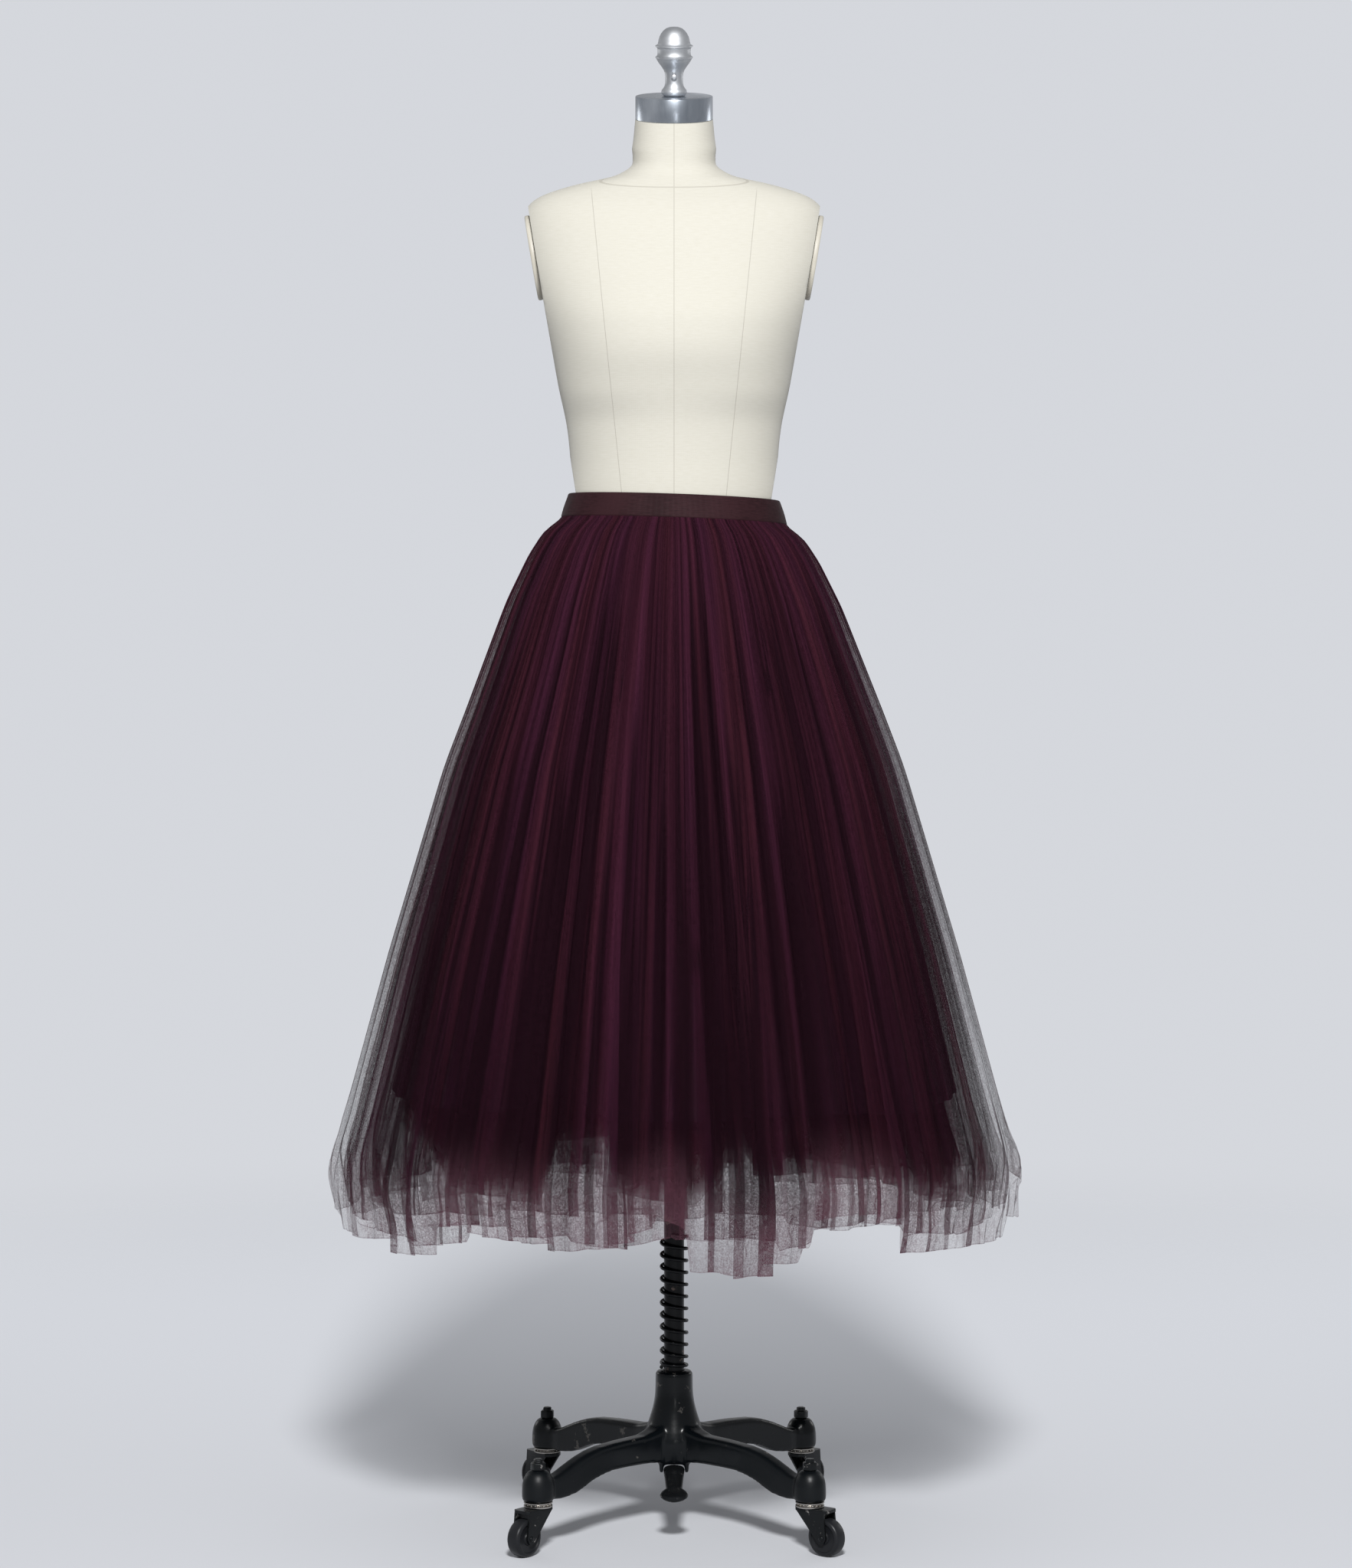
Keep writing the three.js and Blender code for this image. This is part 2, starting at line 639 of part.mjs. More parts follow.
// A flat facet of the tread lies on the floor.
function casterWheel(caster) {
  const facet = Math.PI / WHEEL.sides;
  const rim = WHEEL.radius / Math.cos(facet);
  const outline = [
    { r: WHEEL.bore, z: -WHEEL.half },
    { r: WHEEL.shoulder, z: -WHEEL.half },
    { r: rim, z: -WHEEL.tread },
    { r: rim, z: WHEEL.tread },
    { r: WHEEL.shoulder, z: WHEEL.half },
    { r: WHEEL.bore, z: WHEEL.half },
  ];
  const wheel = turnedRing(outline, WHEEL.sides)
    .rotateZ(facet)
    .rotateX(Math.PI / 2)
    .translate(TRAIL, 0, WHEEL.radius);
  return named("caster_wheel_" + caster.name, wheel, rubber);
}

function casterGroup(caster) {
  const group = new THREE.Group();
  group.position.set(caster.x * STANCE, caster.y * STANCE, 0);
  const swivel = new THREE.Group();
  swivel.rotation.z = radians(caster.trails);
  swivel.add(casterFork(caster), casterWheel(caster));
  group.add(casterNut(caster), casterRace(caster), swivel);
  return group;
}

// ---- assembly -----------------------------------------------------------------------------------

const skirt = new THREE.Group();
skirt.add(waistband(), ...LAYERS.map((_, index) => skirtLayer(index)));

const form = new THREE.Group();
form.add(formBody(), armPlate(-1), armPlate(1), neckCap(), finial(), finialScrew());
form.add(basePlate(), poleSocket());

const stand = new THREE.Group();
stand.add(pole(), bumperSpring(), baseCasting(), footPedal(), ...CASTERS.map(casterGroup));

const model = new THREE.Group();
model.add(skirt, form, stand);
export default model;
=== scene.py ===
# %% [markdown]
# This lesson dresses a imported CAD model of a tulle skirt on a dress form. The CAD gives every size
# and place, so the frame is loaded first and nothing in it moves. Each piece is then modelled again
# with its real folds, edges and finish, and rides on the CAD body that carries it.

# %% Load the frame
import math

import bmesh
import bpy
import numpy as np
from mathutils import Matrix, Vector


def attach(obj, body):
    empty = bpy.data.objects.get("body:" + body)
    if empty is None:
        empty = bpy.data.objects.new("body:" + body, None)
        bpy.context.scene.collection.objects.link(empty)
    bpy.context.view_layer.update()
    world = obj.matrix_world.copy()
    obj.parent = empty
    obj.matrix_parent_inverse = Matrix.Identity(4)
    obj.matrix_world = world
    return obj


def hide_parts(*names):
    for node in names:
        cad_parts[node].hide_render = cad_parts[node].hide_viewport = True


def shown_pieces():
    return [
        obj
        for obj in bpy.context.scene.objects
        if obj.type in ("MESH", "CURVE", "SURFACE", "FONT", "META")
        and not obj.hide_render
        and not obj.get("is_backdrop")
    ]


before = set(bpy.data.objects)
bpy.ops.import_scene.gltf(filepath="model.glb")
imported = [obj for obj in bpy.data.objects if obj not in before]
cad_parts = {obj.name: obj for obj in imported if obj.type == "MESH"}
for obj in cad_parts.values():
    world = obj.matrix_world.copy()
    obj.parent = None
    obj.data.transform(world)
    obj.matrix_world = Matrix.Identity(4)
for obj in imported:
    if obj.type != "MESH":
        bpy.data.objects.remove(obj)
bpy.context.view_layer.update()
MM = 0.001

# %% [markdown]
# The camera stands level, a little over waist high and far back, as for a catalogue picture. A level
# camera keeps the stand upright, and a small shift frames it from the finial to the wheels. Tilting
# the camera would frame it too, but then upright lines would lean.

# %% Camera
FRAME_HIGH = 2047  # pixels
HORIZON_ABOVE_CENTRE = 128.5  # pixels
bpy.ops.object.camera_add(location=(0.00235, -4.65, 1.0276), rotation=(math.pi / 2, 0, 0))
camera = bpy.context.object
camera.data.lens = 87.0
camera.data.sensor_width = 36.0
camera.data.shift_y = -HORIZON_ABOVE_CENTRE / FRAME_HIGH
bpy.context.scene.camera = camera
print("camera lens", camera.data.lens, "mm")

# %% [markdown]
# Sheer cloth needs an even, pale surround, because what is behind shows through every layer. The
# world is that surround, and the floor is a round sheet that fades into it, so no horizon shows from
# any side. One key light in front and above throws the skirt's shadow back along the floor. A small
# low light glints on the iron, and two soft ones behind lift the edges. The paper is graded, darker
# towards the key light, so that it looks the same tone all over.

# %% Studio
SURROUND, WORLD_COLOR = (0.665, 0.682, 0.722), (0.672, 0.680, 0.700)  # as seen, and as it lights
WORLD_LIGHT = 0.60  # how strongly the surround lights things, next to how it looks
FLOOR_SIZE = 9.0
FADE_FROM, FADE_TO = 1.7, 3.7  # metres from the pole
GRADED_FROM, GRADED_TO = -0.9, 2.4  # metres behind the pole
PAPER_NEAR, PAPER_FAR = (0.555, 0.567, 0.597), (0.880, 0.902, 0.950)

scene = bpy.context.scene
scene.view_settings.view_transform = "Standard"
scene.cycles.transparent_max_bounces = 48


def feed(tree, node, inputs):
    """Each of these inputs of a node is linked to a socket or set to a value."""
    for key, value in inputs.items():
        if isinstance(value, bpy.types.NodeSocket):
            tree.links.new(value, node.inputs[key])
        else:
            node.inputs[key].default_value = value
    return node


def add(tree, kind, inputs=None, **settings):
    """A shader node with its settings and its inputs."""
    made = tree.nodes.new(kind)
    for key, value in settings.items():
        setattr(made, key, value)
    return feed(tree, made, inputs or {})


def sums(tree, operation, first, second=0.0, clamp=False):
    """The result of one step of arithmetic on sockets or numbers."""
    made = add(tree, "ShaderNodeMath", {0: first, 1: second}, operation=operation, use_clamp=clamp)
    return made.outputs[0]


def plus(tree, first, second, clamp=False):
    return sums(tree, "ADD", first, second, clamp)


def minus(tree, first, second, clamp=False):
    return sums(tree, "SUBTRACT", first, second, clamp)


def times(tree, first, second):
    return sums(tree, "MULTIPLY", first, second)


def highest(tree, first, second):
    return sums(tree, "MAXIMUM", first, second)


def ramp(tree, value, low, high, start=0.0, end=1.0):
    """A value carried smoothly from start to end while it goes from low to high."""
    inputs = {"Value": value, "From Min": low, "From Max": high, "To Min": start, "To Max": end}
    return add(tree, "ShaderNodeMapRange", inputs, interpolation_type="SMOOTHSTEP").outputs["Result"]


def blend_colors(tree, share, first, second):
    """Two colours mixed by a share; each is a socket or three numbers."""
    made = add(tree, "ShaderNodeMix", {0: share}, data_type="RGBA")
    for index, color in ((6, first), (7, second)):
        is_socket = isinstance(color, bpy.types.NodeSocket)
        feed(tree, made, {index: color if is_socket else (*color, 1)})
    return made.outputs[2]


def here(tree):
    """The point that is being shaded, in the piece's own coordinates."""
    return add(tree, "ShaderNodeTexCoord").outputs["Object"]


def plain_material(name):
    """A material with nodes: itself, its tree and its main shader."""
    made = bpy.data.materials.new(name)
    made.use_nodes = True
    return made, made.node_tree, made.node_tree.nodes["Principled BSDF"]


world = bpy.data.worlds.new("studio")
world.use_nodes = True
scene.world = world
sky = world.node_tree
seen = add(sky, "ShaderNodeLightPath").outputs["Is Camera Ray"]
color = blend_colors(sky, seen, WORLD_COLOR, SURROUND)
strength = ramp(sky, seen, 0.0, 1.0, WORLD_LIGHT, 1.0)
feed(sky, sky.nodes["Background"], {"Color": color, "Strength": strength})

bpy.ops.mesh.primitive_circle_add(vertices=96, radius=FLOOR_SIZE / 2, fill_type="NGON")
floor = bpy.context.object
floor.name = "studio_floor"
floor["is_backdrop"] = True
paper, tree, shader = plain_material("studio_paper")
where = here(tree)
far = add(tree, "ShaderNodeVectorMath", {0: where}, operation="LENGTH").outputs["Value"]
back = add(tree, "ShaderNodeSeparateXYZ", {0: where}).outputs[1]
fade = ramp(tree, far, FADE_FROM, FADE_TO, 1.0, 0.0)
graded = blend_colors(tree, ramp(tree, back, GRADED_FROM, GRADED_TO), PAPER_NEAR, PAPER_FAR)
matt = {"Roughness": 0.8, "Specular IOR Level": 0.1}
feed(tree, shader, {"Base Color": graded, "Alpha": fade, **matt})
floor.data.materials.append(paper)

LIGHTS = {  # place, what it points at, size in metres, watts
    "key": ((0.1, -4.0, 3.30), (0, 0, 0.8), 0.7, 282),
    "low_glint": ((0.45, -4.3, 0.75), (0, 0, 0.4), 0.3, 3.5),
    "rear_left_fill": ((-3.7, 3.0, 1.7), (0, 0, 0.9), 1.6, 15),
    "rear_right_fill": ((3.7, 3.0, 1.7), (0, 0, 0.9), 1.6, 15),
}
for name, (place, target, size, watts) in LIGHTS.items():
    bpy.ops.object.light_add(type="AREA", location=place)
    light = bpy.context.object
    light.name = name
    light.data.shape = "DISK"
    light.data.size = size
    light.data.energy = watts
    light.rotation_euler = (Vector(target) - Vector(place)).to_track_quat("-Z", "Y").to_euler()
print("studio: surround, floor and", len(LIGHTS), "lights")

# %% [markdown]
# Cloth, iron and paint share a few effects, and each is a node group that is built once. Density is
# how much of a net's holes its threads close: long streaks and thin fold lines where it bunches, a
# fine speckle where the meshes beat against each other, more of it where the cloth is gathered,
# crumple lines low down and a firm cut edge. Its tone is darker along those lines and where the net
# bunches, which is painted shade. Weave is raised threads. Wear is rubs and chips.

# %% Shader groups
FLOAT, VECTOR = "NodeSocketFloat", "NodeSocketVector"


def new_group(name, inputs, outputs):
    """An empty shader group with named inputs and outputs: its tree, its input and output nodes."""
    group = bpy.data.node_groups.new(name, "ShaderNodeTree")
    for label, kind, value in inputs:
        socket = group.interface.new_socket(label, in_out="INPUT", socket_type=kind)
        if value is not None:
            socket.default_value = value
    for label, kind in outputs:
        group.interface.new_socket(label, in_out="OUTPUT", socket_type=kind)
    return group, group.nodes.new("NodeGroupInput"), group.nodes.new("NodeGroupOutput")


def noise(tree, place, stretch, detail=2.0, rough=0.5):
    """Noise whose grain along each axis is one over the stretch, in metres."""
    mapped = add(tree, "ShaderNodeMapping", {"Vector": place, "Scale": stretch}).outputs[0]
    inputs = {"Vector": mapped, "Scale": 1.0, "Detail": detail, "Roughness": rough}
    return add(tree, "ShaderNodeTexNoise", inputs).outputs[0]


def veins(tree, place, stretch, wide):
    """Thin wandering lines where a noise crosses its middle value."""
    off = sums(tree, "ABSOLUTE", minus(tree, noise(tree, place, stretch, 1.0), 0.5))
    return ramp(tree, off, 0.3 * wide, wide, 1.0, 0.0)


MASKS = {  # noise cells a metre across and along, detail, roughness, where the mask starts and ends
    "broad": ((26, 0.8, 1), 3.0, 0.5, 0.32, 0.68),
    "narrow": ((150, 2.2, 1), 3.0, 0.6, 0.30, 0.70),
    "specks": ((520, 430, 1), 2.0, 0.7, 0.32, 0.68),
    "moire": ((210, 120, 1), 2.0, 0.6, 0.34, 0.66),
    "warmth": ((9, 0.9, 1), 2.0, 0.5, 0.36, 0.64),
}
FOLD_LINE, CRUMPLE_LINE = ((36, 0.9, 1), 0.016), ((9, 15, 1), 0.010)  # grain, and how wide
EDGE_WIDE, EDGE_CLOSED, LINE_CLOSED = 0.0022, 0.22, 0.28
LEAST_PLY, MOST_PLY = 0.02, 0.94
density, given, result = new_group(
    "net_density",
    [
        ("Place", VECTOR, None), ("Ply", FLOAT, 0.35), ("Fullness", FLOAT, 1.0),
        ("From Hem", FLOAT, 1.0), ("Bunch", FLOAT, 0.0), ("Streaks", FLOAT, 0.3),
        ("Speckle", FLOAT, 0.3),
    ],
    [("Alpha", FLOAT), ("Tone", FLOAT), ("Warmth", FLOAT), ("Height", FLOAT)],
)
place, from_hem, bunch_and_shade = (given.outputs[key] for key in ("Place", "From Hem", "Bunch"))
broad, narrow, specks, moire, warmth = (
    ramp(density, noise(density, place, grain, detail, rough), low, high)
    for grain, detail, rough, low, high in MASKS.values()
)
fold_lines = times(density, veins(density, place, *FOLD_LINE), narrow)
low_down = ramp(density, from_hem, 0.01, 0.15, 1.0, 0.0)
crumples = times(density, veins(density, place, *CRUMPLE_LINE), low_down)
lines = highest(density, fold_lines, times(density, crumples, broad))
streaks = plus(density, times(density, broad, 0.6), times(density, narrow, 0.4))
grain = plus(density, times(density, specks, 0.7), times(density, moire, 0.3))


def about_zero(value, strength):
    """A mask from 0 to 1 made to swing about zero, as strong as asked."""
    return times(density, minus(density, value, 0.5), strength)


streaked = times(density, about_zero(streaks, 2.0), given.outputs["Streaks"])
speckled = times(density, about_zero(grain, 2.0), given.outputs["Speckle"])
swing = plus(density, plus(density, speckled, streaked), 1.0)
ply = highest(density, times(density, given.outputs["Ply"], swing), LEAST_PLY)
open_share = minus(density, 1.0, sums(density, "MINIMUM", ply, MOST_PLY))
gathered = plus(density, times(density, bunch_and_shade, 1.1), 1.0)
plies = times(density, given.outputs["Fullness"], gathered)
closed = minus(density, 1.0, sums(density, "POWER", open_share, plies))
edge = ramp(density, from_hem, 0.0, EDGE_WIDE, EDGE_CLOSED, 0.0)
marked = plus(density, edge, times(density, lines, LINE_CLOSED))
alpha = plus(density, closed, marked, clamp=True)
# The tone is darker along fold and crumple lines and where the net bunches: painted shade in its folds.
lit = minus(density, streaks, times(density, lines, 0.5))
lit = minus(density, lit, times(density, bunch_and_shade, 0.75), clamp=True)
feed(density, result, {"Alpha": alpha, "Tone": lit, "Warmth": warmth, "Height": specks})

weave, given, result = new_group(
    "weave",
    [("Place", VECTOR, None), ("Across", FLOAT, 1200.0), ("Along", FLOAT, 1200.0)],
    [("Height", FLOAT), ("Slub", FLOAT)],
)
axes = add(weave, "ShaderNodeSeparateXYZ", {0: given.outputs["Place"]})
warp, weft = (
    sums(weave, "SINE", times(weave, axes.outputs[axis], given.outputs[key]))
    for axis, key in enumerate(("Across", "Along"))
)
slub = noise(weave, given.outputs["Place"], (90, 700, 90), 3.0)
feed(weave, result, {"Height": highest(weave, warp, weft), "Slub": slub})

CHIP_EDGE = 0.03
wear, given, result = new_group(
    "wear",
    [("Place", VECTOR, None), ("Chips", FLOAT, 0.68), ("Grain", FLOAT, 60.0)],
    [("Chip", FLOAT), ("Smudge", FLOAT), ("Height", FLOAT)],
)
place, chips = given.outputs["Place"], given.outputs["Chips"]
inputs = {0: place, "Scale": given.outputs["Grain"]}
scaled = add(wear, "ShaderNodeVectorMath", inputs, operation="SCALE").outputs[0]
patches = noise(wear, scaled, (1, 1, 1), 6.0, 0.68)
smudges = noise(wear, scaled, (0.25, 0.25, 0.25), 3.0)
pits = noise(wear, scaled, (9, 9, 9), 2.0)
chip = ramp(wear, patches, chips, plus(wear, chips, CHIP_EDGE))
height = minus(wear, times(wear, pits, 0.35), chip)
feed(wear, result, {"Chip": chip, "Smudge": ramp(wear, smudges, 0.35, 0.7), "Height": height})
print("groups:", density.name, weave.name, wear.name)

# %% [markdown]
# A cloth material reads the piece's own UV map, which is laid out in metres of flat cloth, so
# threads keep their size where the cloth bunches. Net lets light straight through its holes, so it
# is an alpha and not a glass. A trace of sheen stands for the fuzz of thread seen along its length.
# The dense net is several plies with hems at different heights, so its alpha feathers out low down.

# %% Cloth materials


def put(tree, group, **values):
    """A group placed in a material, with its inputs set or linked."""
    made = tree.nodes.new("ShaderNodeGroup")
    made.node_tree = group
    return feed(tree, made, {key.replace("_", " "): value for key, value in values.items()})


def raised(tree, height, distance, strength):
    """A bump of a real depth in metres, as a normal."""
    inputs = {"Height": height, "Distance": distance, "Strength": strength}
    return add(tree, "ShaderNodeBump", inputs).outputs[0]


def laid_out(tree):
    """Where a point lies on the flat cloth, and how full, near the hem and bunched it is there."""
    kinds = ("fullness", "from_hem", "bunch_and_shade")
    facts = [add(tree, "ShaderNodeAttribute", attribute_name=kind).outputs["Fac"] for kind in kinds]
    return add(tree, "ShaderNodeUVMap", uv_map="cloth").outputs[0], *facts


# How far up from the hem the colour is lightened, as painted light shining through the net.
RAGGED, PAINTED_LIT_THROUGH = 0.04, 0.11  # metres above the hem


def net_material(name, colors, ply, streaks, speckle, feather=None):
    """Net in four colours: painted shade in its folds, cool, warm, and painted light where it is lit
    through near the hem.
    """
    made, tree, shader = plain_material(name)
    place, fullness, from_hem, bunch_and_shade = laid_out(tree)
    if feather:
        ragged = times(tree, noise(tree, place, (110, 5, 1), 3.0), RAGGED)
        reach = minus(tree, plus(tree, from_hem, 0.55 * RAGGED), ragged)
        ply = times(tree, ramp(tree, reach, 0.0, feather, 0.34, 1.0), ply)
    net = put(
        tree, density, Place=place, Ply=ply, Fullness=fullness, From_Hem=from_hem, Bunch=bunch_and_shade,
        Streaks=streaks, Speckle=speckle,
    )
    dark, cool, warm, thin = colors
    light = blend_colors(tree, net.outputs["Warmth"], cool, warm)
    color = blend_colors(tree, net.outputs["Tone"], dark, light)
    # Painted light: the colour turns lighter near the hem, as if lit through the net.
    low_down = ramp(tree, from_hem, 0.0, PAINTED_LIT_THROUGH, 0.85, 0.0)
    look = {
        "Base Color": blend_colors(tree, low_down, color, thin),
        "Alpha": net.outputs["Alpha"],
        "Normal": raised(tree, net.outputs["Height"], 0.0002, 0.5),
        "Roughness": 0.85,
        "Specular IOR Level": 0.03,
        "Sheen Weight": 0.01,
        "Sheen Roughness": 0.45,
        "Sheen Tint": (0.60, 0.20, 0.35, 1),
    }
    feed(tree, shader, look)
    return made


def satin_material(name, dark, light, threads_wide, threads_long, rib, sheen, roughness, shine):
    """Opaque woven cloth: threads or ribs in relief, uneven yarn, and painted shade where it is
    bunched.
    """
    made, tree, shader = plain_material(name)
    place, _, _, bunch_and_shade = laid_out(tree)
    threads = put(tree, weave, Place=place, Across=threads_wide, Along=threads_long)
    slow = noise(tree, place, (14, 4, 1), 3.0)
    yarn = ramp(tree, times(tree, plus(tree, threads.outputs["Slub"], slow), 0.5), 0.4, 0.6)
    # Darker where the cloth is bunched: painted shade in its creases.
    tone = minus(tree, yarn, times(tree, bunch_and_shade, 0.8), clamp=True)
    look = {
        "Base Color": blend_colors(tree, tone, dark, light),
        "Normal": raised(tree, threads.outputs["Height"], rib, 0.6),
        "Roughness": roughness,
        "Sheen Weight": sheen,
        "Sheen Roughness": 0.35,
        "Specular IOR Level": shine,
    }
    feed(tree, shader, look)
    return made


# Colours are dark, cool, warm and thin. The dark one is the low end of the random streaks and the
# painted shade in folds; the thin one is painted light shining through near the hem.
TULLE = (
    (0.0085, 0.0022, 0.0046), (0.0450, 0.0102, 0.0250),
    (0.0450, 0.0100, 0.0175), (0.095, 0.040, 0.056),
)
NET = (
    (0.0080, 0.0014, 0.0024), (0.0250, 0.0036, 0.0066),
    (0.0300, 0.0042, 0.0058), (0.046, 0.0072, 0.0105),
)
PLUM = ((0.014, 0.0032, 0.0105), (0.062, 0.0130, 0.0460))
FAILLE = ((0.0155, 0.0056, 0.0070), (0.0250, 0.0092, 0.0115))
tulle = net_material("sheer_tulle", TULLE, 0.25, 0.28, 0.65)
dense_net = net_material("burgundy_net", NET, 0.90, 0.10, 0.10, feather=0.034)
plum = satin_material("plum_lining", *PLUM, 5200, 5200, 3e-5, 0.03, 0.55, 0.12)
faille = satin_material("band_faille", *FAILLE, 900, 7800, 7e-5, 0.02, 0.65, 0.08)
print("cloth:", tulle.name, dense_net.name, plum.name, faille.name)

# %% [markdown]
# Every layer of the skirt is one long strip of cloth, gathered into the waistband and joined at the
# back. Cloth simulation could drape it, but thousands of tiny gathers would fold at random and take
# minutes. Here each layer is a fine grid laid on the skirt's real form, and the folds are placed one
# by one: fine gathers at the waist, creases that deepen as they run down, and pleats near the hem
# where the net doubles back on itself and looks darker. Each crease has its own length and depth.

# %% The skirt's form, as in the CAD
SLOPE_ENDS, BAND_BOTTOM, WAIST_SLOPE = 1.000, 1.2295, 0.035
SKIRT_TOP, SKIRT_LOW = 1.2284, 0.350
HEIGHTS = np.array([0.350, 0.449, 0.703, 0.929, 1.127, 1.183, 1.211, 1.2284, 1.2325])
HALF_WIDTH = np.array([410, 422, 352, 284, 207, 179, 160.3, 138.2, 135.4]) * MM
HALF_DEPTH = np.array([388, 399, 330, 262, 183, 152, 130, 104.6, 101.8]) * MM
FOLD = np.array([8, 7.6, 6, 5, 3.6, 2.6, 1.5, 0.2, 0]) * MM
PITCH = np.array([18.2, 17.6, 14.6, 12.6, 9.6, 7.5, 5.4, 2.5, 2.2]) * MM
HEM_RADIUS = 0.40


def eased(value, low, high):
    t = np.clip((value - low) / (high - low), 0, 1)
    return t * t * (3 - 2 * t)


def through(z, values):
    """A table's value at a height: straight between its rows, with each corner rounded."""
    round_by = 0.002 + 0.004 * eased(1.222 - z, 0, 0.01) + 0.012 * eased(1.17 - z, 0, 0.08)
    above, below = np.interp(z + round_by, HEIGHTS, values), np.interp(z - round_by, HEIGHTS, values)
    return (above + 2 * np.interp(z, HEIGHTS, values) + below) / 4


def turned_by(bearing, centre):
    """The short way round from one bearing to another, in radians."""
    return (bearing - centre + np.pi) % (2 * np.pi) - np.pi


def hung(x, y, z):
    """The skirt hangs a little lower on one side at the waist."""
    share = np.clip((z - SLOPE_ENDS) / (BAND_BOTTOM - SLOPE_ENDS), 0, 1)
    return np.stack([x, y, z - x * WAIST_SLOPE * share], axis=-1)


# %% Creases placed one by one
# A crease is a soft trough that all layers share, because they are gathered together: bearing and
# half width in degrees, depth as a share of a full fold, the height it starts at, and how many
# degrees a metre it drifts on its way down. The front is at -90 and the back at 90.
CREASES = [
    (-171, 2.2, 0.8, 1.20, 1.0), (-160, 1.6, 1.2, 1.21, -1.5), (-151, 3.2, 0.9, 1.16, 1.5),
    (-144, 1.8, 1.3, 1.20, -2.0), (-138, 1.1, 0.7, 1.22, 0.8), (-132, 2.6, 0.8, 1.02, 1.0),
    (-126, 1.6, 1.2, 1.21, -1.5), (-121, 1.0, 0.8, 1.22, 1.2), (-117, 2.2, 0.9, 0.98, -1.0),
    (-112.5, 1.3, 1.7, 1.22, -3.2), (-108, 1.9, 1.8, 1.21, -1.6), (-104.5, 0.9, 1.1, 1.22, 0.4),
    (-100, 1.6, 0.9, 1.10, 1.6), (-96, 1.1, 0.7, 1.21, 0.2), (-92.5, 0.9, 1.0, 0.95, -0.8),
    (-89, 1.2, 0.8, 1.21, 0.9), (-84.5, 1.5, 1.5, 1.22, 2.4), (-80, 1.1, 1.3, 1.18, 3.0),
    (-76, 2.0, 1.0, 1.04, 1.8), (-70, 1.2, 0.9, 1.20, 0.4), (-64, 2.2, 1.0, 0.96, -1.0),
    (-58, 1.3, 1.4, 1.21, 2.6), (-49, 1.7, 0.9, 1.19, 1.4), (-41, 2.0, 0.8, 1.08, -1.2),
    (-33, 1.8, 1.4, 1.20, 2.2), (-24, 2.8, 0.9, 0.94, 0.6), (-9, 1.9, 1.2, 1.19, -1.2),
    (4, 2.6, 0.9, 1.00, 1.4), (17, 1.6, 1.1, 1.20, 0.5), (31, 2.3, 1.3, 1.16, -1.8),
    (38, 1.2, 0.8, 1.21, 1.1), (46, 1.7, 0.9, 1.21, 0.9), (58, 2.1, 1.5, 0.92, -0.6),
    (65, 1.0, 0.8, 1.20, -1.4), (71, 1.5, 1.5, 1.21, 1.1), (78, 1.2, 1.0, 1.22, 2.2),
    (83, 2.2, 0.8, 1.05, 1.6), (89, 1.1, 1.2, 1.20, 0.3), (95, 1.6, 1.6, 1.21, -0.7),
    (102, 1.2, 0.8, 1.12, -2.0), (109, 2.5, 1.0, 0.97, 0.8), (121, 1.7, 1.3, 1.20, 1.9),
    (130, 1.1, 0.9, 1.21, -0.6), (136, 2.0, 0.8, 1.10, -1.4), (149, 1.6, 1.2, 1.21, 0.6),
    (163, 2.4, 1.0, 0.95, 1.0), (176, 1.8, 1.1, 1.19, -0.9),
]
# A pleat doubles the cloth back: bearing at the hem, width in millimetres, the height it starts at,
# which side lies on top, and how many degrees it leans on its way down.
PLEATS = [
    (-171, 8, 0.70, 1, 0.8), (-158, 10, 0.84, -1, -0.6), (-145.5, 13, 0.86, 1, 0.8),
    (-138, 10, 0.74, -1, 1.2), (-129.5, 7, 0.62, 1, -0.4), (-125, 6, 0.60, 1, 0.2),
    (-121.8, 8, 0.58, -1, 0.5), (-117.6, 8, 0.62, 1, -2.0), (-110.6, 11, 1.04, 1, -0.4),
    (-99.8, 12, 0.84, -1, 0.6), (-96.8, 7, 0.70, 1, 0.9), (-93.6, 4, 0.58, 1, 1.2),
    (-84.1, 6, 0.75, 1, 0.3), (-79.6, 11, 0.88, 1, -2.6), (-75, 18, 0.98, -1, 0.2),
    (-69, 11, 0.66, 1, 1.8), (-59, 9, 0.70, 1, 0.4), (-54.8, 10, 0.76, -1, 0.2),
    (-51.6, 8, 0.92, 1, -0.3), (-49, 6, 0.66, 1, 0.2), (-43.4, 7, 0.62, -1, 0.6),
    (-39, 9, 0.92, 1, 0.4), (-30.5, 13, 0.82, -1, 0.3), (-16, 9, 0.70, 1, 0.9),
    (-4, 7, 0.60, -1, -0.5), (8, 10, 0.86, 1, 0.7), (21, 12, 0.92, 1, -0.9),
    (37, 8, 0.66, -1, 1.3), (47, 7, 0.58, 1, -0.3), (55, 12, 0.98, 1, 0.6),
    (63, 6, 0.62, -1, 0.3), (70, 9, 0.72, 1, -1.6), (83, 14, 0.90, -1, 0.5),
    (91, 10, 1.02, 1, 1.0), (97, 6, 0.60, 1, -0.4), (104, 9, 0.70, -1, 0.9),
    (117, 11, 0.94, 1, -1.2), (124, 8, 0.64, 1, 0.4), (133, 6, 0.58, -1, 0.8),
    (142, 12, 0.80, 1, -0.7), (155, 9, 0.68, -1, 1.5), (168, 11, 0.90, 1, 0.4),
]
print(len(CREASES), "creases and", len(PLEATS), "pleats")
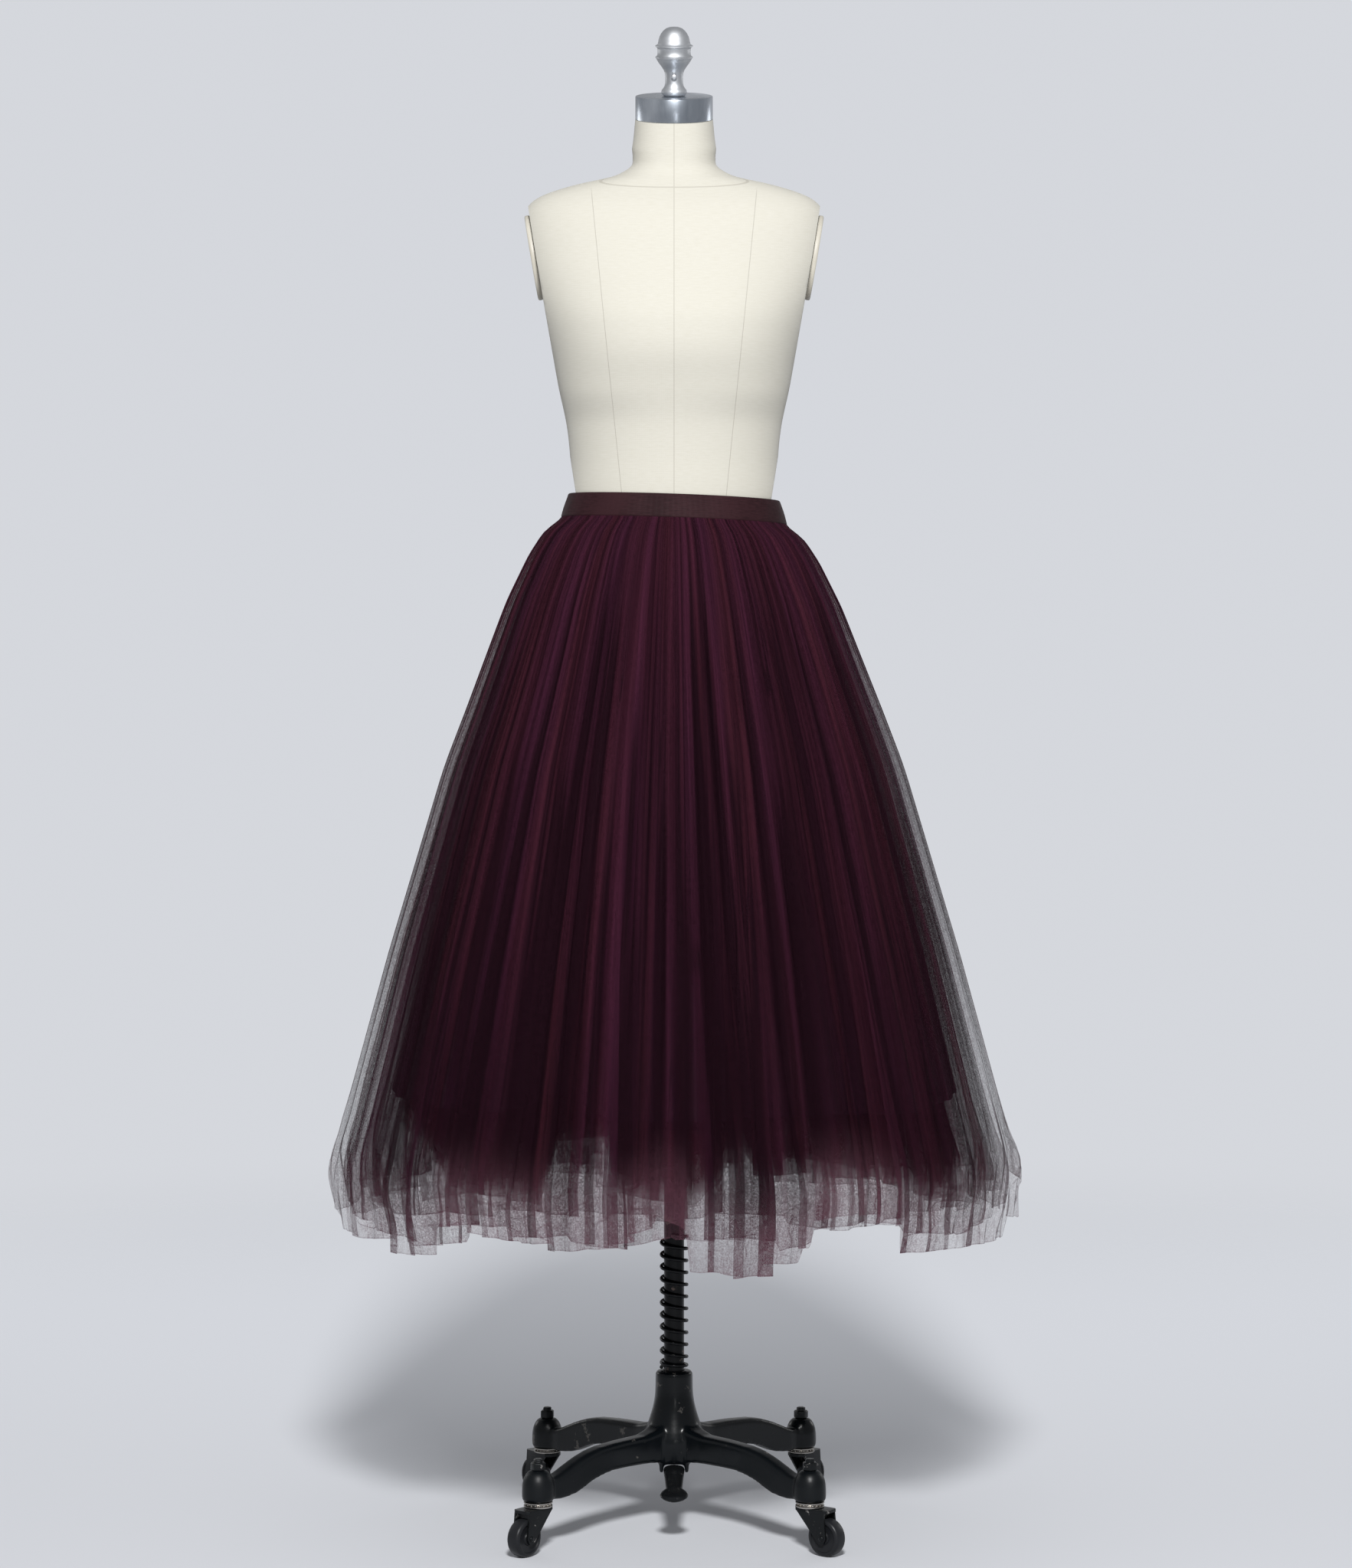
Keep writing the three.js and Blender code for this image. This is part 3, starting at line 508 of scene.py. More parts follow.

# %% Hems placed one by one
# A hem is a row of flaps, one for each stretch between two pleats: where it starts, and how high it
# hangs in millimetres at its start and its end. It reaches to where the next flap starts.
OUTER_FLAPS = [
    (-180, 386, 402), (-175.2, 412, 378), (-168.9, 374, 380), (-146.2, 362, 371), (-132.3, 404, 408),
    (-125.4, 400, 396), (-121.6, 395, 393), (-116.2, 391, 397), (-111.2, 386, 394), (-100.1, 394, 403),
    (-96.6, 410, 422), (-93, 434, 420), (-88, 370, 369), (-84.2, 368, 358), (-79.4, 358, 360),
    (-73.7, 375, 373), (-70, 391, 391), (-67.3, 421, 424), (-59, 422, 418), (-54.6, 412, 406),
    (-50.4, 374, 369), (-30.2, 372, 366), (-12.2, 390, 381), (-3, 416, 432), (7.6, 376, 383),
    (21, 371, 366), (37.4, 386, 380), (47.2, 402, 398), (55.4, 378, 371), (70.3, 384, 390),
    (83, 405, 399), (91.2, 366, 362), (104, 379, 388), (117.2, 394, 399), (124.2, 371, 365),
    (142.3, 384, 380), (155, 362, 368), (168.2, 376, 384),
]
MIDDLE_FLAPS = [
    (-180, 397, 404), (-170, 388, 394), (-155, 382, 376), (-141, 374, 384), (-128, 404, 410),
    (-119, 398, 403), (-108, 397, 392), (-98, 396, 406), (-90, 402, 398), (-80, 404, 396),
    (-72, 384, 391), (-66, 404, 410), (-57, 412, 404), (-47, 394, 386), (-30, 382, 392),
    (-14, 400, 392), (0, 406, 396), (14, 384, 391), (29, 400, 405), (41, 392, 385),
    (58, 401, 409), (76, 396, 389), (92, 383, 392), (109, 403, 398), (121, 386, 381),
    (137, 394, 401), (151, 381, 388), (166, 400, 392),
]
INNER_FLAPS = [
    (-180, 420, 427), (-168, 410, 403), (-152, 401, 411), (-137, 414, 421), (-122, 429, 424),
    (-107, 433, 426), (-94, 417, 425), (-84, 429, 420), (-70, 412, 403), (-58, 402, 413),
    (-44, 419, 410), (-27, 403, 414), (-9, 425, 416), (11, 429, 420), (30, 417, 427),
    (49, 401, 410), (68, 421, 412), (88, 407, 416), (107, 401, 413), (124, 425, 416),
    (143, 410, 401), (160, 414, 422),
]
NET_FLAPS = [
    (-180, 506, 522), (-163, 512, 486), (-150, 470, 440), (-138, 436, 428), (-116, 502, 512),
    (-102.5, 449, 440), (-91, 440, 433), (-85.5, 440, 462), (-79.5, 502, 498), (-75, 467, 462),
    (-60, 458, 454), (-45, 446, 420), (-24, 416, 414), (-9, 440, 452), (14, 452, 438),
    (36, 434, 446), (57, 472, 486), (71, 480, 470), (92, 446, 436), (118, 438, 454),
    (139, 446, 434), (158, 456, 496),
]
LINING_FLAPS = [
    (-180, 537, 532), (-127, 533, 560), (-112, 556, 531), (-101, 529, 532), (-60, 533, 528),
    (-22, 531, 537), (48, 538, 530), (96, 526, 534), (138, 532, 538),
]

# %% [markdown]
# A pleat needs columns of the grid close together where the cloth turns, and elsewhere a wider
# grid is enough. So the columns are spread by a density that peaks at each pleat. Going round the
# skirt, the bearing then runs back for a moment at each pleat, and the cloth steps inwards by its
# own thickness each time it turns.

# %% Draping one layer
ONE_PLY, GATHER_DEPTH, CRUMPLE_DEPTH = 0.0011, 0.0006, 0.0024  # metres
PLEAT_SPREAD, PLEAT_PULL = 0.40, 1.48  # a pleat's wave, as shares of its width
PLEAT_REACH, PLEAT_CROWDING = 2.6, 4.5  # columns near a pleat: how far out, how many times more
BIG_FOLDS, FOLDS, FINE_FOLDS, GATHERS, MORE_GATHERS = 41, 67, 109, 163, 97  # all the way round
HEM_SAG = 0.22  # millimetres for each degree of a flap
FLARES = [(-2, 5, 11), (-176, 6, 5), (96, 7, 6)]  # bearing, half width, how far the hem kicks out


def moved(pleats, turn, mirrored=False):
    """The same pleats at other bearings."""
    sign = -1 if mirrored else 1
    return [(sign * row[0] + turn, row[1], row[2], sign * row[3], sign * row[4]) for row in pleats]


def columns_for(pleats, count):
    """Bearings along the cloth, closer together at the pleats."""
    fine = np.linspace(-np.pi, np.pi, 8001)
    weight = np.ones_like(fine)
    for bearing, wide, _, _, lean in pleats:
        reach = PLEAT_REACH * PLEAT_SPREAD * wide * MM / HEM_RADIUS + math.radians(abs(lean)) / 2
        centre = math.radians(bearing - lean / 2)
        weight += PLEAT_CROWDING * np.exp(-((turned_by(fine, centre) / reach) ** 2))
    total = np.concatenate([[0], np.cumsum((weight[1:] + weight[:-1]) / 2)])
    return np.interp(np.linspace(0, total[-1], count + 1)[:-1], total, fine)


def hem_line(flaps, along, slope, swing):
    """Height of the hem at each column: sloping flaps that sag a little, joined by short slopes."""
    at = np.degrees(along)
    ends = [row[0] for row in flaps[1:]] + [180]
    hem = np.zeros_like(along)
    for (start, first, last), end in zip(flaps, ends):
        share = np.clip((at - start) / (end - start), 0, 1)
        level = first + (last - first) * share - HEM_SAG * (end - start) * share * (1 - share)
        inside = eased(at, start - slope, start + slope) if start > -180 else 1.0
        outside = eased(at, end - slope, end + slope) if end < 180 else 0.0
        hem = hem + level * (inside - outside)
    return hem * MM + 0.002 * np.sin(5 * along + swing) + 0.0012 * np.sin(17 * along + 2 * swing)


def folds_at(along, z, swing, fine):
    """How the cloth lies, 1 on a crest and about -1 in a trough, and how bunched it is there."""
    depth, bunch_and_shade = np.full_like(z, 0.55), np.zeros_like(z)
    calm = 1 - 0.65 * np.cos(along) ** 8  # the two sides hang smoother
    for bearing, half, deep, top, drift in CREASES:
        down = eased(top - z, 0.0, 0.16)
        centre = math.radians(bearing) + math.radians(drift) * (top - z)
        half_wide = math.radians(half) * (0.8 + 0.4 * eased(0.9 - z, 0, 0.5))
        trough = calm * deep * down * np.exp(-((turned_by(along, centre) / half_wide) ** 2))
        depth -= trough
        bunch_and_shade += trough
    low = eased(1.15 - z, 0, 0.5)
    wander = 0.5 * np.sin(2.3 * z + 3 * along + swing)
    uneven = 0.65 + 0.35 * np.sin(5 * along + 2.2 * z)
    waves = 0.26 * low * np.sin(BIG_FOLDS * along + 0.5 * swing + wander) * uneven
    waves += 0.20 * np.sin(FOLDS * along + swing + 1.4 * wander) * (1.3 - uneven)
    waves += 0.13 * fine * np.sin(FINE_FOLDS * along + 0.7 * swing + 2 * wander)
    waves *= calm * (1 - 0.45 * eased(1.18 - z, 0, 0.2) * eased(z, 0.42, 0.62))
    # How bunched the cloth is also sets how much painted shade its creases get in the materials.
    deeper = 0.30 + 0.95 * eased(1.16 - z, 0, 0.45)
    bunch_and_shade = np.clip(deeper * (bunch_and_shade - 0.38 * waves), 0, 1)
    return np.clip(depth + waves, -1.3, 1.1), bunch_and_shade


def drape(index, extra, swing, flaps, slope, pleats, columns, rows, fine=1.0):
    """Points of one layer from the waist down, their heights over its hem, and how bunched it is."""
    along = columns_for(pleats, columns)[None, :]
    hem = hem_line(flaps, along, slope, swing)
    even = np.linspace(0, 1, rows)[:, None]
    down = even - 0.35 * np.sin(2 * np.pi * even) / (2 * np.pi)
    z = HEIGHTS[-1] - down * (HEIGHTS[-1] - hem)
    drop = (SKIRT_TOP - z) / (SKIRT_TOP - SKIRT_LOW)
    share, bunch_and_shade = folds_at(along, z, swing, fine)
    inward = index * through(z, PITCH) + extra * drop + through(z, FOLD) * (1 - share)
    gather = fine * GATHER_DEPTH * eased(1.232 - z, 0, 0.02) * (1 - 0.7 * eased(1.17 - z, 0, 0.3))
    pinch = np.sin(GATHERS * along + 0.9 * np.sin(13 * along))
    pinch = pinch + 0.6 * np.sin(MORE_GATHERS * along + 1.0)
    inward += gather * pinch
    bunch_and_shade = np.clip(bunch_and_shade + 0.08 * fine * np.maximum(pinch, 0) * eased(z, 0.85, 1.2), 0, 1)
    crumple = fine * CRUMPLE_DEPTH * eased(0.56 - z, 0, 0.16)
    inward += crumple * np.sin(23 * along + 31 * z + swing) * np.sin(11 * along - 47 * z)
    inward += 0.6 * crumple * np.sin(61 * along - 64 * z + 2 * swing)
    for centre, half, kick in FLARES:
        near = np.exp(-((turned_by(along, math.radians(centre)) / math.radians(half)) ** 2))
        inward -= kick * MM * near * eased(0.52 - z, 0, 0.12)
    bearing = along + np.zeros_like(z)
    for centre, wide, start, side, lean in pleats:
        grown = eased(start - z, 0.0, start - 0.40) ** 0.8
        width = wide * MM / HEM_RADIUS
        middle = math.radians(centre) + math.radians(lean) * (grown - 1)
        t = turned_by(along, middle) / (PLEAT_SPREAD * width)
        bearing = bearing - PLEAT_PULL * width * grown * t * np.exp(-t * t / 2)
        under = 1 / (1 + np.exp(-1.8 * side * t))
        back = np.exp(-((np.maximum(side * t, 0) / 6) ** 2))
        inward += 2 * ONE_PLY * grown * under * back
    x = (through(z, HALF_WIDTH) - inward) * np.cos(bearing)
    y = (through(z, HALF_DEPTH) - inward) * np.sin(bearing)
    return hung(x, y, z), z - hem, bunch_and_shade


def cloth_piece(name, points, from_hem, bunch_and_shade, material):
    """A closed band of cloth from a grid of points, with flat UVs in metres and its fullness."""
    rows, columns = points.shape[:2]
    place = np.arange(rows * columns).reshape(rows, columns)
    right = np.roll(place, -1, axis=1)
    faces = np.stack([place[:-1], place[1:], right[1:], right[:-1]], axis=-1).reshape(-1, 4)
    mesh = bpy.data.meshes.new(name)
    mesh.from_pydata(points.reshape(-1, 3), [], faces)
    round_steps = np.linalg.norm(np.roll(points, -1, axis=1) - points, axis=2)
    lengths = round_steps.sum(axis=1)
    cut_wide = lengths[-1]
    u = np.concatenate([[0], np.cumsum(round_steps[-1])])
    down_steps = np.linalg.norm(np.diff(points, axis=0), axis=2).mean(axis=1)
    v = -np.concatenate([[0], np.cumsum(down_steps)])
    uv = np.empty((rows - 1, columns, 4, 2))
    uv[..., 0, 0] = uv[..., 1, 0] = u[:-1]
    uv[..., 2, 0] = uv[..., 3, 0] = u[1:]
    uv[..., 0, 1] = uv[..., 3, 1] = v[:-1, None]
    uv[..., 1, 1] = uv[..., 2, 1] = v[1:, None]
    layer = mesh.uv_layers.new(name="cloth")
    layer.data.foreach_set("uv", uv.ravel())
    gathered = (cut_wide / lengths) * (1 + 0.5 * eased(points[..., 2].mean(axis=1), 0.50, 0.85))
    kinds = {"fullness": np.repeat(gathered, columns), "from_hem": from_hem, "bunch_and_shade": bunch_and_shade}
    for kind, values in kinds.items():
        attribute = mesh.attributes.new(kind, "FLOAT", "POINT")
        attribute.data.foreach_set("value", values.ravel().astype(np.float32))
    mesh.polygons.foreach_set("use_smooth", [True] * len(mesh.polygons))
    mesh.materials.append(material)
    piece = bpy.data.objects.new(name, mesh)
    scene.collection.objects.link(piece)
    area = sum(p.area for p in mesh.polygons)
    print(f"{name}: hem {cut_wide:.2f} m, waist {lengths[0]:.2f} m, down {-v[-1]:.3f} m,", end=" ")
    print(f"area {area:.2f} m2")
    return piece


def dress(piece, body, node):
    """A piece rides on its body and takes the place of its CAD node."""
    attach(piece, body)
    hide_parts(node)


# %% [markdown]
# Innermost is a petticoat of dense burgundy net. Over it lies a plain A-line lining of plum cloth,
# which gives the skirt its dark body and is cut shorter, so the net shows below its hem. Both are the
# same kind of grid as the tulle, with rounder folds, as heavier cloth doesn't crease so finely.

# %% Net underskirt and lining
some_pleats = moved([pleat for pleat in PLEATS if pleat[1] >= 10], 6)
net_drape = drape(4, 3 * MM, 0.4, NET_FLAPS, 1.8, some_pleats, 700, 56, fine=0.6)
underskirt = cloth_piece("burgundy_underskirt", *net_drape, dense_net)
dress(underskirt, "form", "net_underskirt")

lining_drape = drape(3, 0.0, 1.7, LINING_FLAPS, 2.6, [], 480, 48, fine=0.3)
lining = cloth_piece("plum_lining", *lining_drape, plum)
dress(lining, "form", "lining")

# %% [markdown]
# Three layers of tulle hang over the lining. They share the creases that run from the waist, because
# the layers are gathered together, but each has its own pleats at the hem, turned to other places.
# The outer layer has the finest grid, as its edges show against the light.

# %% Tulle layers
inner_pleats, middle_pleats = moved(PLEATS, 9, mirrored=True), moved(PLEATS, -4.5)
TULLE_LAYERS = {  # place outwards, swing, hem, its slope, pleats, columns, rows
    "inner": (2, 2.1, INNER_FLAPS, 0.3, inner_pleats, 1000, 66),
    "middle": (1, 0.9, MIDDLE_FLAPS, 0.25, middle_pleats, 1100, 68),
    "outer": (0, 0.0, OUTER_FLAPS, 0.2, PLEATS, 1300, 76),
}
for name, (index, *shaping) in TULLE_LAYERS.items():
    layer = cloth_piece(name + "_tulle", *drape(index, 0.0, *shaping), tulle)
    dress(layer, "form", "tulle_" + name)

# %% [markdown]
# The waistband is a strip of ribbed faille folded lengthwise over a stiffener. Seen from outside it
# is a shallow cone with a soft roll at its top edge. It is swept round the waist from one profile:
# up the inside, over the roll, down the outside and under, with slight dents where it is tight.

# %% Waistband
BAND_TOP = 1.2585
BAND_WIDE, BAND_DEEP = (0.1298, 0.1389), (0.0962, 0.1053)  # half sizes at its top and bottom
DENT = 0.45 * MM
# Profile from inside bottom to outside bottom: share of the way down, and how far out it lies.
BAND_PROFILE = [
    (0.98, -2.1), (0.70, -2.1), (0.30, -2.0), (0.06, -1.7), (0.0, -1.0),
    (0.02, -0.3), (0.07, 0.0), (0.2, 0.15), (0.4, 0.3), (0.6, 0.3),
    (0.8, 0.2), (0.93, 0.05), (0.985, -0.35), (1.0, -1.0),
]
turn = np.linspace(-np.pi, np.pi, 361)[:-1]
rings = []
for down, out in BAND_PROFILE:
    z = BAND_TOP + (BAND_BOTTOM - BAND_TOP) * down + 0 * turn
    wave = np.sin(9 * turn + 1) * np.sin(2 * turn) + 0.6 * np.sin(23 * turn + 5 * down)
    dent = (out > -1) * DENT * np.sin(np.pi * down) * wave
    width, depth = (
        high + (low - high) * down + out * MM + dent for high, low in (BAND_WIDE, BAND_DEEP)
    )
    rings.append(hung(width * np.cos(turn), depth * np.sin(turn), z))
points = np.stack(rings)
flat = np.ones(points.shape[:2])
band = cloth_piece("waist_band", points, flat, 0 * flat, faille)
dress(band, "form", "waistband")

# %% [markdown]
# Hard pieces start as a primitive and are shaped in edit mode. Most of the stand is turned on a
# lathe, and so is the start of the body: a circle is extruded upwards ring by ring, and each ring is
# scaled to its radius. Spinning a profile gives the same shape, but the rings are easier to change.

# %% Helpers for hard pieces
WELD = 1e-6  # metres


def deselect():
    bpy.ops.object.select_all(action="DESELECT")


def select_only(*pieces):
    """These pieces alone are selected, and the first is active."""
    deselect()
    for piece in pieces:
        piece.select_set(True)
    bpy.context.view_layer.objects.active = pieces[0]


def edit_all():
    """Into edit mode, with the whole mesh selected."""
    bpy.ops.object.mode_set(mode="EDIT")
    bpy.ops.mesh.select_all(action="SELECT")


def edit_done():
    bpy.ops.object.mode_set(mode="OBJECT")


def finished(piece, material, sharp=32):
    """Normals outwards, place in the mesh, flat faces kept crisp and the rest smooth."""
    select_only(piece)
    bpy.ops.object.transform_apply(location=True, rotation=True, scale=True)
    edit_all()
    bpy.ops.mesh.remove_doubles(threshold=WELD)
    bpy.ops.mesh.normals_make_consistent(inside=False)
    edit_done()
    bpy.ops.object.shade_smooth_by_angle(angle=math.radians(sharp))
    piece.data.materials.clear()
    piece.data.materials.append(material)
    return piece


def turned(name, rows, sides, at=(0, 0)):
    """A shape turned about Z from rows of radius and height, left in its own frame."""
    deselect()
    (radius, height), *rest = rows
    bpy.ops.mesh.primitive_circle_add(
        vertices=sides, radius=radius, fill_type="NGON", location=(*at, height)
    )
    piece = bpy.context.object
    piece.name = name
    edit_all()
    for next_radius, next_height in rest:
        rise = (0, 0, next_height - height)
        bpy.ops.mesh.extrude_region_move(TRANSFORM_OT_translate={"value": rise})
        grow = next_radius / radius
        bpy.ops.transform.resize(value=(grow, grow, 1), center_override=(*at, next_height))
        radius, height = next_radius, next_height
    edit_done()
    return piece


def rounded(rows, steps):
    """More rows on a smooth line through a turned profile."""
    table = np.array([rows[0], *rows, rows[-1]], float)
    made = []
    for i in range(1, len(table) - 2):
        a, b, c, d = table[i - 1 : i + 3]
        for t in np.arange(steps) / steps:
            bend, twist = 2 * a - 5 * b + 4 * c - d, 3 * b - a - 3 * c + d
            made.append(0.5 * (2 * b + (c - a) * t + bend * t**2 + twist * t**3))
    return [tuple(row) for row in (*made, table[-1])]


def modified(piece, kind, **settings):
    """A modifier added, set and applied."""
    select_only(piece)
    made = piece.modifiers.new(kind.lower(), kind)
    for key, value in settings.items():
        setattr(made, key, value)
    bpy.ops.object.modifier_apply(modifier=made.name)
    return piece


def in_metres(rows):
    return [(a * MM, b * MM) for a, b in rows]


# %% [markdown]
# The body is papier-mache under stretched linen. Its sections aren't circles, so a stack of equal
# rings is extruded first, and each vertex is then moved to its section: wider than deep, flatter at
# the bust and back, with the neck leaning forward. Two bisects cut the flat beds of the arm plates.

# %% Linen body
FORM_COLUMNS = ("z", "half", "front", "back", "tilt", "lean")
FORM = np.array([
    (985, 142, 100, 104, 0, 0), (1035, 156, 108, 116, 0, 0), (1090, 157, 108, 118, 0, 0),
    (1145, 149, 103, 112, 0, 0), (1190, 136, 97, 102, 0, 0), (1226, 124.5, 91.3, 91.3, 0, 0),
    (1262, 127.1, 93.5, 93.5, 0, 0), (1305, 127.4, 95, 93, 0, 0), (1345, 131.5, 100, 92, 0, 0),
    (1389, 140.8, 113, 93, 0, 0), (1432, 149.8, 126, 96, 0, 0), (1470, 161.5, 127, 98, 0, 0),
    (1506, 174.5, 117, 99, 0, 0), (1550, 186, 103, 97, 0, 0), (1592, 188, 90, 90, 0, 0),
    (1613, 181, 79, 81, 0, 0), (1627, 163, 69, 72, 0, 0), (1641, 120, 60, 63, 1, 0),
    (1650, 80, 55, 57, 2, 0), (1660, 58.5, 52, 52, 5, 1), (1688, 51.4, 49, 49, 10, 4),
    (1721, 47.6, 47, 47, 14.5, 8),
])
FORM_SQUARENESS, WAIST_ROUND = 2.25, 2.0
ARM = {"high": 0.105, "deep": 0.076, "tilt": 9.5, "x": 0.1684, "z": 1.553}
NECK_TILT, NECK_LEAN, NECK_TOP = 14.5, 0.008, 1.721


def form_at(z, column):
    """A column of the form's table at heights in millimetres, on a smooth line."""
    heights, values = FORM[:, 0], FORM[:, FORM_COLUMNS.index(column)]
    slopes = np.gradient(values, heights)
    k = np.clip(np.searchsorted(heights, z) - 1, 0, len(heights) - 2)
    step = heights[k + 1] - heights[k]
    t = np.clip((z - heights[k]) / step, 0, 1)
    smooth = (
        (1 + 2 * t) * (1 - t) ** 2 * values[k]
        + t * (1 - t) ** 2 * step * slopes[k]
        + t * t * (3 - 2 * t) * values[k + 1]
        + t * t * (t - 1) * step * slopes[k + 1]
    )
    low = np.minimum(values[k], values[k + 1]) - 0.6
    high = np.maximum(values[k], values[k + 1]) + 0.6
    return np.clip(smooth, low, high)


RINGS = [(985, 1592, 100), (1592, 1662, 30), (1662, 1721, 16)]  # from, to, how many
heights = np.unique(np.concatenate([np.linspace(*stretch) for stretch in RINGS]))
body = turned("linen_form", [(0.1, z * MM) for z in heights], 144)
bpy.ops.object.transform_apply(location=True)
co = np.array([v.co for v in body.data.vertices])
turn, z = np.arctan2(co[:, 1], co[:, 0]), co[:, 2] / MM
squareness = FORM_SQUARENESS + (WAIST_ROUND - FORM_SQUARENESS) * (
    eased(z, 1150, 1190) * (1 - eased(z, 1345, 1385))
)
cos, sin = np.cos(turn), np.sin(turn)
x = form_at(z, "half") * np.sign(cos) * np.abs(cos) ** (2 / squareness)
deep = np.where(sin < 0, form_at(z, "front"), form_at(z, "back"))
y = deep * np.sign(sin) * np.abs(sin) ** (2 / squareness)
tilt = np.radians(form_at(z, "tilt"))
co = np.stack([x, y * np.cos(tilt) - form_at(z, "lean"), z + y * np.sin(tilt)], axis=1) * MM
body.data.vertices.foreach_set("co", co.ravel())
for side in (-1, 1):
    lean = math.radians(ARM["tilt"])
    bed, outwards = (side * ARM["x"], 0, ARM["z"]), (side * math.cos(lean), 0, -math.sin(lean))
    edit_all()
    bpy.ops.mesh.bisect(plane_co=bed, plane_no=outwards, use_fill=True, clear_outer=True)
    edit_done()
print("linen form:", len(body.data.polygons), "faces")

# %% [markdown]
# Linen over a hard body shows as an even cream cloth: a fine open weave, a little uneven yarn, faint
# handling marks, and seams where its panels meet. The seams run straight in the front, back and
# sides and round the base of the neck. A seam in a plane is a distance in Object coordinates, so the
# material can draw it sharply on a coarse mesh.

# %% Linen, plates and body finish
SEAM_WIDE, NECK_SEAM_WIDE = 0.0006, 0.0007
WAIST_HIGH, PANEL_AT_WAIST, PANEL_SPREAD = 1.245, 0.062, 0.1  # the front and back panel seams
NECK_SEAM_HIGH, NECK_SEAM_SLOPE = 1.6585, 0.42
linen, tree, shader = plain_material("form_linen")
place = here(tree)
axes = add(tree, "ShaderNodeSeparateXYZ", {0: place})
cloth_place = add(tree, "ShaderNodeCombineXYZ", {0: axes.outputs[0], 1: axes.outputs[2]}).outputs[0]
threads = put(tree, weave, Place=cloth_place, Across=4200, Along=4200)
marks = put(tree, wear, Place=place, Chips=0.74, Grain=26)


def near(distance, wide):
    """One on a line and zero beyond its width."""
    return ramp(tree, sums(tree, "ABSOLUTE", distance), 0.3 * wide, wide, 1.0, 0.0)


x, y, z = axes.outputs
neck_plane = minus(tree, minus(tree, z, times(tree, y, NECK_SEAM_SLOPE)), NECK_SEAM_HIGH)
centre_seam = near(x, SEAM_WIDE)
side_seam = near(plus(tree, y, 0.001), SEAM_WIDE)
panel = plus(tree, times(tree, minus(tree, z, WAIST_HIGH), PANEL_SPREAD), PANEL_AT_WAIST)
panel_seam = near(minus(tree, sums(tree, "ABSOLUTE", x), panel), SEAM_WIDE)
neck_seam = near(neck_plane, NECK_SEAM_WIDE)
below_neck = ramp(tree, neck_plane, -0.012, -0.002, 1.0, 0.0)
seams = highest(tree, times(tree, panel_seam, below_neck), neck_seam)
seams = highest(tree, seams, highest(tree, centre_seam, side_seam))
tone = plus(tree, times(tree, threads.outputs["Slub"], 0.6), 0.1)
cream = blend_colors(tree, tone, (0.43, 0.412, 0.352), (0.52, 0.508, 0.462))
soiled = blend_colors(tree, times(tree, marks.outputs["Chip"], 0.25), cream, (0.31, 0.28, 0.22))
stitched = blend_colors(tree, times(tree, seams, 0.45), soiled, (0.27, 0.25, 0.21))
relief = minus(tree, times(tree, threads.outputs["Height"], 0.12), seams)
look = {
    "Base Color": stitched,
    "Normal": raised(tree, relief, 0.0004, 0.6),
    "Roughness": 0.85,
    "Specular IOR Level": 0.2,
    "Sheen Weight": 0.08,
}
feed(tree, shader, look)

finished(body, linen, sharp=38)
dress(body, "form", "form_body")

# %% [markdown]
# An arm plate closes each armhole: an oval of painted board with a rounded rim, dished in the middle.
# It is modelled lying flat, as a turned disc scaled to an oval, and then turned up against its bed.
# The small screw that holds the real plate isn't modelled.

# %% Arm plates
PLATE_PROFILE = [  # share of the plate's half size, and how far out it lies
    (0.96, 0.3), (0.99, 0.8), (1.0, 2.5), (1.0, 5.2), (0.985, 6.4), (0.965, 6.8),
    (0.945, 6.5), (0.925, 5.7), (0.80, 4.5), (0.55, 3.9), (0.25, 3.6), (0.05, 3.6),
]
painted, tree, shader = plain_material("plate_paint")
marks = put(tree, wear, Place=here(tree), Chips=0.66, Grain=70)
smudge = marks.outputs["Smudge"]
look = {
    "Base Color": blend_colors(tree, times(tree, smudge, 0.7), (0.38, 0.355, 0.30), (0.47, 0.45, 0.39)),
    "Roughness": ramp(tree, smudge, 0, 1, 0.45, 0.62),
    "Normal": raised(tree, marks.outputs["Height"], 0.00015, 0.5),
}
feed(tree, shader, look)


def against_arm(piece, side):
    """A piece modelled on the floor plane is laid on the arm bed of one side."""
    lean = math.radians(ARM["tilt"] if side > 0 else 180 - ARM["tilt"])
    turn = Matrix.Rotation(lean, 4, "Y") @ Matrix.Rotation(math.pi / 2, 4, "Y")
    piece.data.transform(Matrix.Translation((side * ARM["x"], 0, ARM["z"])) @ turn)
    return piece


for side, name in ((-1, "left"), (1, "right")):
    rows = [(share * ARM["high"] / 2, out * MM) for share, out in PLATE_PROFILE]
    plate = turned("arm_disc_" + name, rows, 72)
    edit_all()
    bpy.ops.transform.resize(value=(1, ARM["deep"] / ARM["high"], 1), center_override=(0, 0, 0))
    edit_done()
    bpy.ops.object.transform_apply(location=True)
    finished(against_arm(plate, side), painted, sharp=40)
    dress(plate, "form", "arm_plate_" + name)
print("arm plates lie at", ARM["tilt"], "degrees")

# %% [markdown]
# Bare and painted metal differ mostly in how they reflect. Steel takes all its colour from its
# reflections, so it is fully metallic with fine turning lines; the neck cap's broad upright bands of
# dark and light colour are painted reflections. Black enamel is a dark coat over iron: dull where
# handled, with small chips down to the primer. Both use the wear group.

# %% Metal and rubber materials


